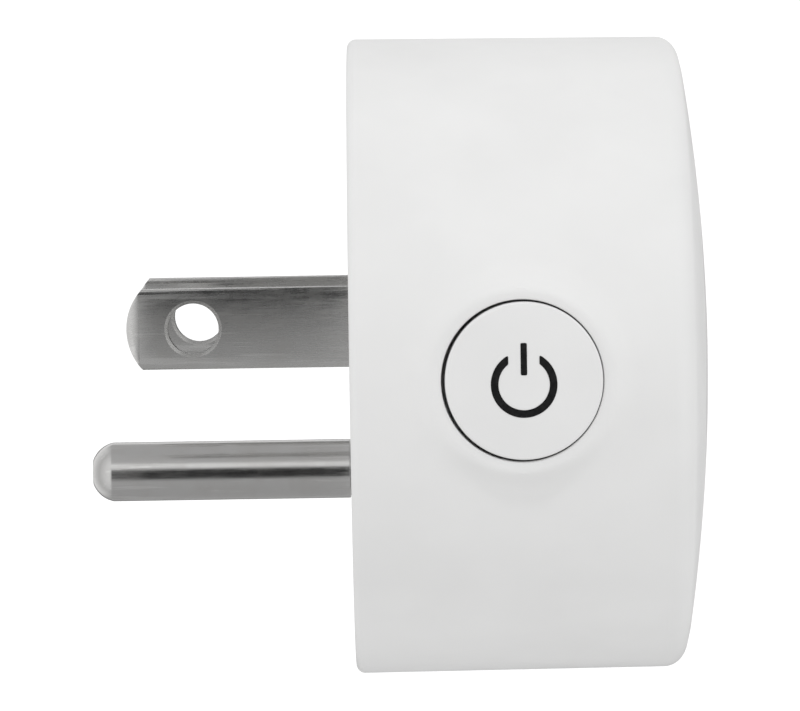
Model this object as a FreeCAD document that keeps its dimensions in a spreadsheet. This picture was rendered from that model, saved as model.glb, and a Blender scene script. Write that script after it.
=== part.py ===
import FreeCAD, Part
import math
import os
import re

import Sketcher
from FreeCAD import Placement, Rotation, Vector

# A plug-in power meter: a round puck that pushes into a grounded 15 A wall outlet, measures and
# switches what is plugged into its own outlet at the front, and has one push button on its side.
#
# Frame, in millimetres: the flat wall face is the plane x = 0 and its centre is the origin. +X runs
# through the body to the domed front, the prongs run to -X, +Z is up with the ground pin lowest, and
# the button looks towards -Y. Facing the outlet, neutral is on the left (-Y) and line on the right.

SIZES = {
    # Housing: a drafted round wall, closed by a shallow dome.
    "body_radius": 25.3,
    "body_draft": 0.37,
    "rim_depth": 25.95,
    "dome_radius": 141.0,
    "wall": 2.0,
    "front_wall": 1.9,
    "back_edge_round": 0.7,
    "rim_round": 1.65,
    # Button pad: a flat disc that stands a little above the wall and blends down into it.
    "button_depth": 13.0,
    "pad_radius": 6.9,
    "pad_rise": 0.2,
    "pad_blend": 2.5,
    "pad_root": 2.4,
    # Rear cover, its screws and the posts that they pull on.
    "cover_thick": 2.4,
    "cover_gap": 0.12,
    "screw_inset": 3.0,
    "screw_angle": 40.0,
    "screw_radius": 1.1,
    "screw_head_radius": 2.0,
    "screw_head_tall": 1.5,
    "screw_crown": 0.6,
    "screw_drive_radius": 0.95,
    "screw_drive_deep": 0.8,
    "screw_sunk": 4.4,
    "screw_grip": 8.0,
    "screw_clearance": 0.2,
    "thread_clearance": 0.02,
    "post_sunk": 0.2,
    "pilot_past_screw": 1.0,
    "cover_post_radius": 2.8,
    "housing_post_radius": 3.2,
    # Prongs: the standard grounded 15 A pattern.
    "blade_spacing": 12.7,
    "blade_height": 2.9,
    "ground_drop": 11.9,
    "blade_length": 17.65,
    "blade_width": 6.35,
    "blade_thick": 1.52,
    "blade_tip_round": 4.6,
    "blade_bevel_long": 1.03,
    "blade_bevel_deep": 0.36,
    "blade_hole_radius": 2.0,
    "blade_hole_bevel": 0.25,
    "blade_hole_from_tip": 5.26,
    "blade_shoulder_width": 8.4,
    "blade_shoulder_long": 1.5,
    "blade_tail_width": 2.0,
    "pin_length": 20.85,
    "pin_radius": 2.35,
    "pin_tip_long": 1.6,
    "pin_tip_flat": 1.0,
    "pin_tip_round": 2.2,
    "pin_neck_radius": 2.15,
    "pin_neck_proud": 0.25,
    "pin_flange_radius": 3.4,
    "pin_flange_long": 1.2,
    "pin_tail_radius": 1.6,
    "pin_tail_proud": 0.8,
    "prong_clearance": 0.1,
    "prong_block_wall": 2.4,
    "prong_block_deep": 3.6,
    # Outlet at the front.
    "insert_radius": 15.9,
    "insert_gap": 0.1,
    "insert_to_post": 0.1,
    "insert_flange": 1.6,
    "slot_width": 2.2,
    "line_slot_tall": 7.0,
    "neutral_slot_tall": 8.7,
    "ground_hole_radius": 2.7,
    # Contacts behind the outlet, and the block that holds them.
    "contact_stock": 0.5,
    "contact_tall": 6.0,
    "contact_reach": 2.2,
    "contact_knee": 2.8,
    "contact_gap": 1.4,
    "contact_short_of_insert": 1.0,
    "contact_flare": 3.2,
    "contact_mouth": 1.5,
    "contact_off_board": 1.0,
    "contact_tail_width": 1.0,
    "contact_tail_thick": 0.8,
    "contact_room": 0.4,
    "carrier_wall": 0.8,
    "carrier_off_board": 0.4,
    "ground_clip_radius": 2.35,
    "ground_clip_stock": 0.6,
    "ground_clip_start": 2.4,
    "ground_clip_short_of_insert": 0.4,
    "ground_clip_slit": 1.2,
    "ground_room": 1.05,
    "strap_stock": 0.5,
    "strap_width": 2.4,
    "strap_under_clip": 2.6,
    "strap_gap": 0.02,
    # Main board.
    "board_back": 8.4,
    "board_thick": 1.2,
    "board_edge_gap": 1.6,
    "board_hole_slack": 0.2,
    "board_ground_hole": 3.9,
    "board_button_notch": 0.5,
    "tail_past_board": 0.4,
    # Button and the switch behind it.
    "button_radius": 5.95,
    "button_gap": 0.17,
    "button_slack": 0.11,
    "button_proud": 0.3,
    "button_skin": 1.3,
    "button_skirt": 1.2,
    "button_flange_radius": 6.85,
    "button_flange_thick": 0.8,
    "button_flange_room": 1.4,
    "button_stem_radius": 1.5,
    "button_stem_past_flange": 0.8,
    "button_travel": 0.5,
    "symbol_radius": 2.5,
    "symbol_stroke": 0.57,
    "symbol_bar_wide": 0.48,
    "symbol_opening": 2.34,
    "symbol_bar_long": 2.43,
    "symbol_bar_top": 3.13,
    "symbol_drop": 0.26,
    "symbol_thick": 0.03,
    "plunger_gap": 0.05,
    "plunger_radius": 1.6,
    "plunger_long": 2.4,
    "plunger_showing": 1.1,
    "plunger_clearance": 0.08,
    "plunger_overtravel": 0.2,
    "switch_size": 6.0,
    "switch_deep": 3.6,
    "switch_feet": 0.8,
    # Relay: base, cover, coil, yoke, and the armature that carries the moving contact.
    "part_gap": 0.6,
    "relay_wide": 19.6,
    "relay_tall": 10.6,
    "relay_off_board": 0.2,
    "relay_to_wall": 0.6,
    "relay_base_thick": 1.4,
    "relay_wall": 0.7,
    "relay_fit": 0.1,
    "coil_radius": 4.2,
    "coil_from_side": 5.2,
    "bobbin_flange": 0.6,
    "bobbin_lip": 0.2,
    "bobbin_bore_wall": 0.6,
    "core_radius": 1.9,
    "core_clearance": 0.05,
    "core_past_bobbin": 0.4,
    "core_to_foot_edge": 1.0,
    "core_to_armature_edge": 1.2,
    "yoke_thick": 0.9,
    "yoke_tall": 7.0,
    "yoke_gap": 0.3,
    "armature_gap": 0.4,
    "armature_thick": 0.8,
    "armature_rest": 0.05,
    "arm_stock": 0.25,
    "arm_tall": 4.0,
    "arm_short_of_leg": 0.35,
    "relay_contact_radius": 1.1,
    "relay_contact_thick": 0.4,
    "relay_contact_gap": 0.32,
    "relay_contact_inset": 0.1,
    "relay_leg_thick": 0.4,
    "relay_leg_inset": 0.3,
    # Small parts on the board.
    "capacitor_radius": 2.6,
    "capacitor_spacing": 5.8,
    "capacitor_upper": 5.0,
    "bulk_capacitor_long": 12.5,
    "filter_capacitor_long": 9.0,
    "choke_long": 7.0,
    "choke_waist": 0.7,
    "choke_flange": 1.0,
    "radio_board_thick": 0.8,
    "radio_board_tall": 16.0,
    "radio_shield_deep": 2.4,
    "radio_shield_tall": 12.0,
    "radio_shield_long": 9.0,
    "radio_shield_edge": 1.2,
    "film_capacitor_wide": 14.0,
    "film_capacitor_tall": 4.2,
    "film_capacitor_long": 10.5,
    "film_capacitor_shift": 2.0,
    "under_carrier_gap": 3.2,
    "varistor_radius": 2.9,
    "varistor_thick": 2.8,
    "varistor_side": 10.0,
    "fuse_radius": 1.5,
    "fuse_long": 8.0,
    "fuse_side": 11.0,
    "rectifier_size": 4.0,
    "rectifier_tall": 1.8,
    "regulator_wide": 3.4,
    "regulator_long": 4.4,
    "regulator_tall": 1.4,
    "chip_drop": 5.6,
    "meter_chip_wide": 4.0,
    "meter_chip_long": 6.0,
    "meter_chip_tall": 1.5,
    "meter_chip_side": 15.2,
    "shunt_long": 8.0,
    "shunt_tall": 4.0,
    "shunt_stock": 0.6,
    "shunt_stand": 0.9,
    "shunt_side": 15.6,
    "led_size": 1.6,
    "led_tall": 1.1,
    "led_up": 7.4,
    "led_inset": 5.0,
}

document = FreeCAD.newDocument("plug_in_power_meter")
sheet = document.addObject("Spreadsheet::Sheet", "sizes")
for row, (size_name, size_value) in enumerate(SIZES.items(), start=1):
    sheet.set(f"A{row}", size_name)
    sheet.set(f"B{row}", str(size_value))
    sheet.setAlias(f"B{row}", size_name)
document.recompute()

# Sizes that follow from the driving ones.
RIM_RADIUS = "(body_radius - rim_depth * tan(body_draft))"
CROWN = f"(rim_depth + dome_radius - sqrt(dome_radius^2 - {RIM_RADIUS}^2))"
CAVITY_RADIUS = "(body_radius - wall)"
SCREW_CIRCLE = f"({CAVITY_RADIUS} - screw_inset)"
FRONT_INSIDE = "(rim_depth - front_wall)"
GROUND_HEIGHT = "(blade_height - ground_drop)"
BLADE_SIDE = "(blade_spacing / 2)"
BOARD_FRONT = "(board_back + board_thick)"
BLADE_END = f"({BOARD_FRONT} + tail_past_board)"
INSERT_BACK = f"({FRONT_INSIDE} - insert_flange)"
INSERT_LIP_RADIUS = f"({SCREW_CIRCLE} - housing_post_radius - insert_to_post)"
PRONG_BLOCK_FRONT = "(cover_thick + prong_block_deep)"

CARRIER_BACK = f"({BOARD_FRONT} + carrier_off_board)"
CARRIER_LONG = f"({INSERT_BACK} - {CARRIER_BACK})"
CONTACT_BACK = f"({BOARD_FRONT} + contact_off_board)"
CONTACT_LONG = f"({INSERT_BACK} - {CONTACT_BACK} - contact_short_of_insert)"
CONTACT_PINCH = f"({CONTACT_LONG} - contact_flare)"
CONTACT_ROOM_WIDE = "(2 * (contact_reach + contact_room))"
CONTACT_ROOM_TALL = "(neutral_slot_tall + contact_room)"
GROUND_ROOM_RADIUS = "(ground_clip_radius + ground_clip_stock + ground_room)"
CARRIER_SIDE = f"({BLADE_SIDE} + {CONTACT_ROOM_WIDE} / 2 + 2 * carrier_wall)"
CARRIER_TOP = f"(blade_height + {CONTACT_ROOM_TALL} / 2 + carrier_wall)"
CARRIER_BOTTOM = f"({GROUND_HEIGHT} - {GROUND_ROOM_RADIUS} - carrier_wall / 2)"

BUTTON_HOLE_RADIUS = "(button_radius + button_gap)"
BUTTON_MIDDLE = "(button_depth + button_slack)"
PAD_FACE = "(-body_radius - pad_rise)"
BUTTON_FACE = f"({PAD_FACE} - button_proud)"
FLANGE_OUTSIDE = f"(-{CAVITY_RADIUS} + button_flange_room)"
FLANGE_INSIDE = f"({FLANGE_OUTSIDE} + button_flange_thick)"
STEM_END = f"({FLANGE_INSIDE} + button_stem_past_flange)"
PLUNGER_FACE = f"({STEM_END} + plunger_gap)"
SWITCH_FACE = f"({PLUNGER_FACE} + plunger_showing)"

RELAY_BACK = f"({BOARD_FRONT} + relay_off_board)"
RELAY_LOW = f"({CARRIER_TOP} + part_gap)"
RELAY_MIDDLE = f"({RELAY_LOW} + relay_tall / 2)"
RELAY_FLOOR = f"({RELAY_BACK} + relay_base_thick)"
RELAY_FRONT = f"({INSERT_BACK} - part_gap / 2)"
RELAY_REACH = f"({CAVITY_RADIUS} - relay_to_wall)"
RELAY_STACK = (
    "(yoke_thick + 2 * bobbin_flange + core_past_bobbin + armature_gap + armature_thick + arm_stock"
    " + 2 * relay_contact_thick + relay_contact_gap + relay_leg_thick + relay_fit + relay_wall)"
)
COIL_LONG = f"({RELAY_FRONT} - {RELAY_FLOOR} - {RELAY_STACK})"
BOBBIN_LONG = f"({COIL_LONG} + 2 * bobbin_flange)"
COIL_SIDE = "(-relay_wide / 2 + coil_from_side)"
YOKE_SIDE = f"({COIL_SIDE} + coil_radius + bobbin_lip + yoke_gap)"
BOBBIN_BACK = f"({RELAY_FLOOR} + yoke_thick)"
CORE_TOP = f"({BOBBIN_BACK} + {BOBBIN_LONG} + core_past_bobbin)"
ARMATURE_BACK = f"({CORE_TOP} + armature_gap)"
YOKE_TOP = f"({ARMATURE_BACK} - armature_rest)"
ARMATURE_FRONT = f"({ARMATURE_BACK} + armature_thick)"
ARM_FRONT = f"({ARMATURE_FRONT} + arm_stock)"
MOVING_FACE = f"({ARM_FRONT} + relay_contact_thick)"
FIXED_FACE = f"({MOVING_FACE} + relay_contact_gap)"
FIXED_BACK = f"({FIXED_FACE} + relay_contact_thick)"
LEG_SIDE = "(relay_wide / 2 - relay_wall - relay_fit - relay_leg_inset)"
ARM_END = f"({LEG_SIDE} - relay_leg_thick - arm_short_of_leg)"
CONTACT_SIDE = f"({ARM_END} - relay_contact_radius - relay_contact_inset)"

CAPACITOR_SIDE = f"({CARRIER_SIDE} + part_gap / 2 + capacitor_radius)"
RADIO_SIDE = f"({CAPACITOR_SIDE} + capacitor_radius + part_gap / 2)"
UNDER_CARRIER = f"({CARRIER_BOTTOM} - under_carrier_gap)"

# The four screws, as signs of their side (Y) and height (Z).
SCREW_CORNERS = ((-1, -1), (-1, 1), (1, -1), (1, 1))

# The turn that points a part drawn along Z along another axis.
ALONG = {
    "X": Rotation(Vector(0, 0, 1), Vector(1, 0, 0)),
    "Y": Rotation(Vector(0, 0, 1), Vector(0, 1, 0)),
    "Z": Rotation(),
}

sub_parts = []


def bound(text):
    """Point each size name in an expression at its cell in the sheet."""
    return re.sub(r"[a-z_]+", lambda word: "sizes." + word[0] if word[0] in SIZES else word[0], text)


def value(text):
    """Work out a size expression as a number."""
    return float(sheet.evalExpression(text))


def bind(thing, **properties):
    """Bind properties of an object to size expressions."""
    for name, text in properties.items():
        thing.setExpression(name, bound(text))


def place(thing, at, turn=Rotation()):
    """Put an object at a bound position, turned by a fixed rotation."""
    thing.Placement = Placement(Vector(*(value(text) for text in at)), turn)
    for letter, text in zip("xyz", at):
        thing.setExpression("Placement.Base." + letter, bound(text))


def keep(label, thing):
    """Name an object as one of the sub-parts."""
    thing.Label = label
    sub_parts.append(thing)
    return thing


def block(name, low, size):
    """A box from its lowest corner and its length along X, Y and Z."""
    box = document.addObject("Part::Box", name)
    bind(box, Length=size[0], Width=size[1], Height=size[2])
    place(box, low)
    return box


def middle_block(name, back, middle, size):
    """A box from its lowest X and its middle in Y and Z."""
    low = (back, f"({middle[0]}) - ({size[1]}) / 2", f"({middle[1]}) - ({size[2]}) / 2")
    return block(name, low, size)


def rod(name, start, axis, radius, length):
    """A cylinder from the middle of its first end, along one axis."""
    cylinder = document.addObject("Part::Cylinder", name)
    bind(cylinder, Radius=radius, Height=length)
    place(cylinder, start, ALONG[axis])
    return cylinder


def taper(name, start, axis, first_radius, last_radius, length):
    """A cone from the middle of its first end, along one axis."""
    cone = document.addObject("Part::Cone", name)
    bind(cone, Radius1=first_radius, Radius2=last_radius, Height=length)
    place(cone, start, ALONG[axis])
    return cone


def joined(name, pieces):
    """One solid made of several that meet or overlap."""
    union = document.addObject("Part::MultiFuse", name)
    union.Shapes = pieces
    union.Refine = True
    return union


def cut(name, base, tools):
    """A solid with the space of the tools taken away."""
    remainder = document.addObject("Part::Cut", name)
    remainder.Base = base
    remainder.Tool = tools[0] if len(tools) == 1 else joined(name + "_tools", tools)
    remainder.Refine = True
    return remainder


def shared(name, first, second):
    """The space that two solids share."""
    overlap = document.addObject("Part::Common", name)
    overlap.Base = first
    overlap.Tool = second
    return overlap


def arc_between(start, end, radius, turn):
    """An arc from start to end, and whether it is stored from end to start. turn is 1 anticlockwise."""
    chord = end - start
    rise = math.sqrt(radius**2 - (chord.Length / 2) ** 2)
    left = Vector(-chord.y, chord.x, 0).normalize()
    centre = (start + end) * 0.5 + left * (rise * turn)
    first, last = (start, end) if turn > 0 else (end, start)
    angles = [math.atan2(point.y - centre.y, point.x - centre.x) for point in (first, last)]
    if angles[1] < angles[0]:
        angles[1] += 2 * math.pi
    circle = Part.Circle(centre, Vector(0, 0, 1), radius)
    return Part.ArcOfCircle(circle, angles[0], angles[1]), turn < 0


def outline(body, name, plane, corners):
    """Draw a closed outline on one of a body's origin planes, with every corner bound to the sheet.

    A corner is (along, up), and (along, up, radius, turn) where the side that leaves it is an arc.
    """
    sketch = body.newObject("Sketcher::SketchObject", name)
    origin_plane = next(item for item in body.Origin.OriginFeatures if item.Role == plane)
    sketch.AttachmentSupport = [(origin_plane, "")]
    sketch.MapMode = "FlatFace"
    points = [Vector(value(corner[0]), value(corner[1]), 0) for corner in corners]
    ends = []
    for index, corner in enumerate(corners):
        start, end = points[index], points[(index + 1) % len(points)]
        if len(corner) == 2:
            side = sketch.addGeometry(Part.LineSegment(start, end))
            ends.append((side, 1, 2))
            continue
        arc, reverse = arc_between(start, end, value(corner[2]), corner[3])
        side = sketch.addGeometry(arc)
        ends.append((side, 2, 1) if reverse else (side, 1, 2))
        number = sketch.addConstraint(Sketcher.Constraint("Radius", side, value(corner[2])))
        sketch.setExpression(f"Constraints[{number}]", bound(corner[2]))
    for index, corner in enumerate(corners):
        side, first, _ = ends[index]
        before, _, last = ends[index - 1]
        sketch.addConstraint(Sketcher.Constraint("Coincident", before, last, side, first))
        for kind, axis, text in (("DistanceX", -2, corner[0]), ("DistanceY", -1, corner[1])):
            if text == "0":
                sketch.addConstraint(Sketcher.Constraint("PointOnObject", side, first, axis))
                continue
            rule = Sketcher.Constraint(kind, -1, 1, side, first, value(text))
            number = sketch.addConstraint(rule)
            sketch.setExpression(f"Constraints[{number}]", bound(text))
    return sketch


def turned(name, plane, axis, corners, at=("0", "0", "0")):
    """A body turned about an axis of its sketch."""
    body = document.addObject("PartDesign::Body", name)
    sketch = outline(body, name + "_outline", plane, corners)
    turning = body.newObject("PartDesign::Revolution", name + "_turning")
    turning.Profile = sketch
    turning.ReferenceAxis = (sketch, [axis])
    turning.Angle = 360
    sketch.Visibility = False
    place(body, at)
    document.recompute()
    return body


def plate(name, plane, corners, thick, at=("0", "0", "0")):
    """A body padded evenly to both sides of its sketch."""
    body = document.addObject("PartDesign::Body", name)
    sketch = outline(body, name + "_outline", plane, corners)
    pad = body.newObject("PartDesign::Pad", name + "_pad")
    pad.Profile = sketch
    pad.SideType = "Symmetric"
    bind(pad, Length=thick)
    place(body, at)
    document.recompute()
    return body


def circle_edges(shape, depth, radius):
    """Names of the full circles about the X axis at one depth and radius."""
    names = []
    for number, edge in enumerate(shape.Edges, start=1):
        if edge.Degenerated or not isinstance(edge.Curve, Part.Circle):
            continue
        right_depth = abs(edge.Curve.Center.x - depth) < 0.01
        if right_depth and abs(edge.Curve.Radius - radius) < 0.01:
            names.append(f"Edge{number}")
    return names


def round_edge(body, name, depth, radius, size):
    """Round one circular edge of a turned body."""
    feature = body.Tip
    edges = circle_edges(feature.Shape, value(depth), value(radius))
    fillet = body.newObject("PartDesign::Fillet", name)
    fillet.Base = (feature, edges)
    bind(fillet, Radius=size)
    document.recompute()


def screw_place(corner):
    """Side and height of one screw."""
    side, height = corner
    return (f"({side} * {SCREW_CIRCLE} * cos(screw_angle))",
            f"({height} * {SCREW_CIRCLE} * sin(screw_angle))")


def front_housing():
    """The moulded cup that everything sits in, with its button pad and its four screw posts."""
    shell = turned("housing_shell", "XZ_Plane", "H_Axis", [
        ("0", CAVITY_RADIUS),
        ("0", "body_radius"),
        ("rim_depth", RIM_RADIUS, "dome_radius", -1),
        (CROWN, "0"),
        (FRONT_INSIDE, "0"),
        (FRONT_INSIDE, CAVITY_RADIUS),
    ])
    round_edge(shell, "housing_back_edge", "0", "body_radius", "back_edge_round")
    round_edge(shell, "housing_rim", "rim_depth", RIM_RADIUS, "rim_round")
    pad = document.addObject("Part::Feature", "housing_pad_stock")
    pad.Shape = pad_shape()
    pad.Placement = Placement()
    cavity = rod("housing_cavity", ("0", "0", "0"), "X", CAVITY_RADIUS, FRONT_INSIDE)
    solids = [shell, cut("housing_pad", pad, [cavity])]
    holes = [
        rod("housing_button_hole", ("button_depth", f"{PAD_FACE} - 1", "0"), "Y",
            BUTTON_HOLE_RADIUS, "2 * wall + 3"),
        rod("housing_outlet_hole", (f"{FRONT_INSIDE} - 1", "0", "0"), "X",
            "insert_radius + insert_gap", f"{CROWN} - {FRONT_INSIDE} + 2"),
    ]
    for number, corner in enumerate(SCREW_CORNERS, start=1):
        side, height = screw_place(corner)
        solids.append(rod(f"housing_post_{number}", (BOARD_FRONT, side, height), "X",
                          "housing_post_radius", f"{FRONT_INSIDE} - {BOARD_FRONT} + post_sunk"))
        holes.append(rod(f"housing_pilot_{number}", (BOARD_FRONT, side, height), "X",
                         "screw_radius + thread_clearance", "screw_grip + pilot_past_screw"))
    keep("front_housing", cut("housing", joined("housing_solid", solids), holes))


def pad_shape():
    """The pad's stock: a flat disc whose skirt runs smoothly down onto the drafted wall."""
    body_radius, draft = value("body_radius"), math.radians(value("body_draft"))
    depth, flat = value("button_depth"), value("pad_radius")
    blend, face = value("pad_blend"), value(PAD_FACE)
    root = -(body_radius - value("pad_root"))
    points_round = 24

    def ring(share, sink=0.0, level=None):
        """A closed curve at one share of the skirt, from 0 at the flat to 1 on the wall."""
        fall = (1 - (1 - share) ** 3) ** 1.5
        points = []
        for step in range(points_round):
            angle = 2 * math.pi * step / points_round
            reach = flat + blend * share
            x, z = depth + reach * math.cos(angle), reach * math.sin(angle)
            wall_radius = body_radius - x * math.tan(draft)
            on_wall = -math.sqrt(wall_radius**2 - z**2)
            y = face + (on_wall - face) * fall + sink if level is None else level
            points.append(Vector(x, y, z))
        curve = Part.BSplineCurve()
        curve.interpolate(points, PeriodicFlag=True)
        return Part.Wire([curve.toShape()])

    under_wall = 0.03
    rings = [ring(share) for share in (0, 0.08, 0.18, 0.3, 0.45, 0.6, 0.8)] + [ring(1, under_wall)]
    bottom = ring(1, level=root)
    skirt = Part.makeLoft(rings, False, False)
    side = Part.makeLoft([rings[-1], bottom], False, True)
    skin = Part.Shell([Part.Face(rings[0])] + skirt.Faces + side.Faces + [Part.Face(bottom)])
    skin.sewShape()
    stock = Part.Solid(skin)
    if stock.Volume < 0:
        stock.reverse()
    return stock


def rear_cover():
    """The flat back: a disc with the prong openings and four tubes that hold the board."""
    disc = rod("cover_disc", ("0", "0", "0"), "X", f"{CAVITY_RADIUS} - cover_gap", "cover_thick")
    solids = [disc]
    slot = ("cover_thick + 2", "blade_thick + 2 * prong_clearance", "blade_width + 2 * prong_clearance")
    holes = [
        middle_block("cover_line_slot", "-1", (BLADE_SIDE, "blade_height"), slot),
        middle_block("cover_neutral_slot", "-1", (f"-{BLADE_SIDE}", "blade_height"), slot),
        rod("cover_pin_hole", ("-1", "0", GROUND_HEIGHT), "X", "pin_radius + prong_clearance",
            "cover_thick + 2"),
    ]
    for number, corner in enumerate(SCREW_CORNERS, start=1):
        side, height = screw_place(corner)
        solids.append(rod(f"cover_tube_{number}", ("0", side, height), "X", "cover_post_radius",
                          "board_back"))
        holes.append(rod(f"cover_sink_{number}", ("-1", side, height), "X",
                         "screw_head_radius + screw_clearance", "screw_sunk + 1"))
        holes.append(rod(f"cover_bore_{number}", ("-1", side, height), "X",
                         "screw_radius + screw_clearance", "board_back + 2"))
    keep("rear_cover", cut("cover", joined("cover_solid", solids), holes))


def cover_screws():
    """Four pan-head screws, from the back into the housing's posts."""
    screws = []
    head_back = "(screw_sunk - screw_head_tall)"
    shank_end = f"({BOARD_FRONT} + screw_grip)"
    for number, corner in enumerate(SCREW_CORNERS, start=1):
        side, height = screw_place(corner)
        screws.append(turned(f"screw_{number}", "XZ_Plane", "H_Axis", [
            (f"{head_back} + screw_drive_deep", "0"),
            (head_back, "screw_drive_radius"),
            (head_back, "screw_head_radius - screw_crown"),
            (f"{head_back} + screw_crown", "screw_head_radius"),
            ("screw_sunk", "screw_head_radius"),
            ("screw_sunk", "screw_radius"),
            (f"{shank_end} - screw_radius", "screw_radius"),
            (shank_end, "0"),
        ], ("0", side, height)))
    group = document.addObject("Part::Compound", "screws")
    group.Links = screws
    keep("cover_screws", group)


def blade(label, side):
    """A flat prong with a rounded, bevelled tip, a hole, a shoulder and a tail into the board."""
    name = label.split("_")[0] + "_prong"
    tip_side = "(-blade_length + blade_tip_round - sqrt(blade_tip_round^2 - blade_width^2 / 4))"
    shoulder_end = "(cover_thick + blade_shoulder_long)"
    half, wide, thin = "blade_width / 2", "blade_shoulder_width / 2", "blade_tail_width / 2"
    flat = plate(name + "_flat", "XZ_Plane", [
        (tip_side, f"-{half}"),
        ("cover_thick", f"-{half}"),
        ("cover_thick", f"-{wide}"),
        (shoulder_end, f"-{wide}"),
        (shoulder_end, f"-{thin}"),
        (BLADE_END, f"-{thin}"),
        (BLADE_END, thin),
        (shoulder_end, thin),
        (shoulder_end, wide),
        ("cover_thick", wide),
        ("cover_thick", half),
        (tip_side, half, "blade_tip_round", 1),
    ], "blade_thick", ("0", side, "blade_height"))
    tip_half = "(blade_thick / 2 - blade_bevel_deep)"
    bevel_end = "(-blade_length + blade_bevel_long)"
    edge_on = plate(name + "_edge_on", "XY_Plane", [
        ("-blade_length", f"-{tip_half}"),
        (bevel_end, "-blade_thick / 2"),
        (BLADE_END, "-blade_thick / 2"),
        (BLADE_END, "blade_thick / 2"),
        (bevel_end, "blade_thick / 2"),
        ("-blade_length", tip_half),
    ], "2 * blade_shoulder_width", ("0", side, "blade_height"))
    middle = "(-blade_length + blade_hole_from_tip)"
    near_face, far_face = f"({side} - blade_thick / 2)", f"({side} + blade_thick / 2)"
    wide_hole = "(blade_hole_radius + blade_hole_bevel)"
    holes = [
        rod(name + "_hole", (middle, f"{near_face} - 1", "blade_height"), "Y", "blade_hole_radius",
            "blade_thick + 2"),
        taper(name + "_near_sink", (middle, near_face, "blade_height"), "Y", wide_hole,
              "blade_hole_radius", "blade_hole_bevel"),
        taper(name + "_far_sink", (middle, f"{far_face} - blade_hole_bevel", "blade_height"), "Y",
              "blade_hole_radius", wide_hole, "blade_hole_bevel"),
    ]
    keep(label, cut(name, shared(name + "_shaped", flat, edge_on), holes))


def ground_pin():
    """The round ground prong: a neck in the cover, a flange in the block and a tail for the strap."""
    flange_end = "(cover_thick + pin_flange_long)"
    keep("ground_pin", turned("pin", "XZ_Plane", "H_Axis", [
        ("-pin_length", "0"),
        ("-pin_length", "pin_tip_flat", "pin_tip_round", -1),
        ("-pin_length + pin_tip_long", "pin_radius"),
        ("-pin_neck_proud", "pin_radius"),
        ("-pin_neck_proud", "pin_neck_radius"),
        ("cover_thick", "pin_neck_radius"),
        ("cover_thick", "pin_flange_radius"),
        (flange_end, "pin_flange_radius"),
        (flange_end, "pin_tail_radius"),
        (f"{PRONG_BLOCK_FRONT} + pin_tail_proud", "pin_tail_radius"),
        (f"{PRONG_BLOCK_FRONT} + pin_tail_proud", "0"),
    ], ("0", "0", GROUND_HEIGHT)))


def prong_carrier():
    """The block behind the cover that the shoulders of the three prongs press against."""
    side = f"({BLADE_SIDE} + blade_thick / 2 + prong_block_wall)"
    top = "(blade_height + blade_shoulder_width / 2 + prong_block_wall / 2)"
    bottom = f"({GROUND_HEIGHT} - pin_flange_radius - prong_block_wall / 2)"
    solid = block("prong_block_solid", ("cover_thick", f"-{side}", bottom),
                  ("prong_block_deep", f"2 * {side}", f"{top} - {bottom}"))
    thick = "blade_thick + 2 * prong_clearance"
    holes = []
    for name, at in (("line", BLADE_SIDE), ("neutral", f"-{BLADE_SIDE}")):
        holes.append(middle_block(f"prong_block_{name}_seat", "cover_thick - 1", (at, "blade_height"),
                                  ("blade_shoulder_long + 1", thick,
                                   "blade_shoulder_width + 2 * prong_clearance")))
        holes.append(middle_block(f"prong_block_{name}_way", "cover_thick - 1", (at, "blade_height"),
                                  ("prong_block_deep + 2", thick,
                                   "blade_tail_width + 2 * prong_clearance")))
    holes.append(rod("prong_block_pin_seat", ("cover_thick - 1", "0", GROUND_HEIGHT), "X",
                     "pin_flange_radius + prong_clearance", "pin_flange_long + 1"))
    holes.append(rod("prong_block_pin_way", ("cover_thick - 1", "0", GROUND_HEIGHT), "X",
                     "pin_tail_radius + prong_clearance", "prong_block_deep + 2"))
    keep("prong_carrier", cut("prong_block", solid, holes))


def outlet_insert():
    """The domed outlet face, held behind the housing's front wall by its lip."""
    edge_depth = f"({CROWN} - dome_radius + sqrt(dome_radius^2 - insert_radius^2))"
    face = turned("insert_face", "XZ_Plane", "H_Axis", [
        (INSERT_BACK, "0"),
        (INSERT_BACK, INSERT_LIP_RADIUS),
        (FRONT_INSIDE, INSERT_LIP_RADIUS),
        (FRONT_INSIDE, "insert_radius"),
        (edge_depth, "insert_radius", "dome_radius", -1),
        (CROWN, "0"),
    ])
    deep = f"{CROWN} - {INSERT_BACK} + 2"
    start = f"{INSERT_BACK} - 1"
    keep("outlet_insert", cut("insert", face, [
        middle_block("insert_line_slot", start, (BLADE_SIDE, "blade_height"),
                     (deep, "slot_width", "line_slot_tall")),
        middle_block("insert_neutral_slot", start, (f"-{BLADE_SIDE}", "blade_height"),
                     (deep, "slot_width", "neutral_slot_tall")),
        rod("insert_ground_hole", (start, "0", GROUND_HEIGHT), "X", "ground_hole_radius", deep),
    ]))


def contact_carrier():
    """The insulating block with one open cell for each of the outlet's contacts."""
    solid = block("carrier_solid", (CARRIER_BACK, f"-{CARRIER_SIDE}", CARRIER_BOTTOM),
                  (CARRIER_LONG, f"2 * {CARRIER_SIDE}", f"{CARRIER_TOP} - {CARRIER_BOTTOM}"))
    room = (f"{CARRIER_LONG} + 2", CONTACT_ROOM_WIDE, CONTACT_ROOM_TALL)
    start = f"{CARRIER_BACK} - 1"
    keep("contact_carrier", cut("carrier", solid, [
        middle_block("carrier_line_cell", start, (BLADE_SIDE, "blade_height"), room),
        middle_block("carrier_neutral_cell", start, (f"-{BLADE_SIDE}", "blade_height"), room),
        rod("carrier_ground_cell", (start, "0", GROUND_HEIGHT), "X", GROUND_ROOM_RADIUS,
            f"{CARRIER_LONG} + 2"),
    ]))


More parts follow.
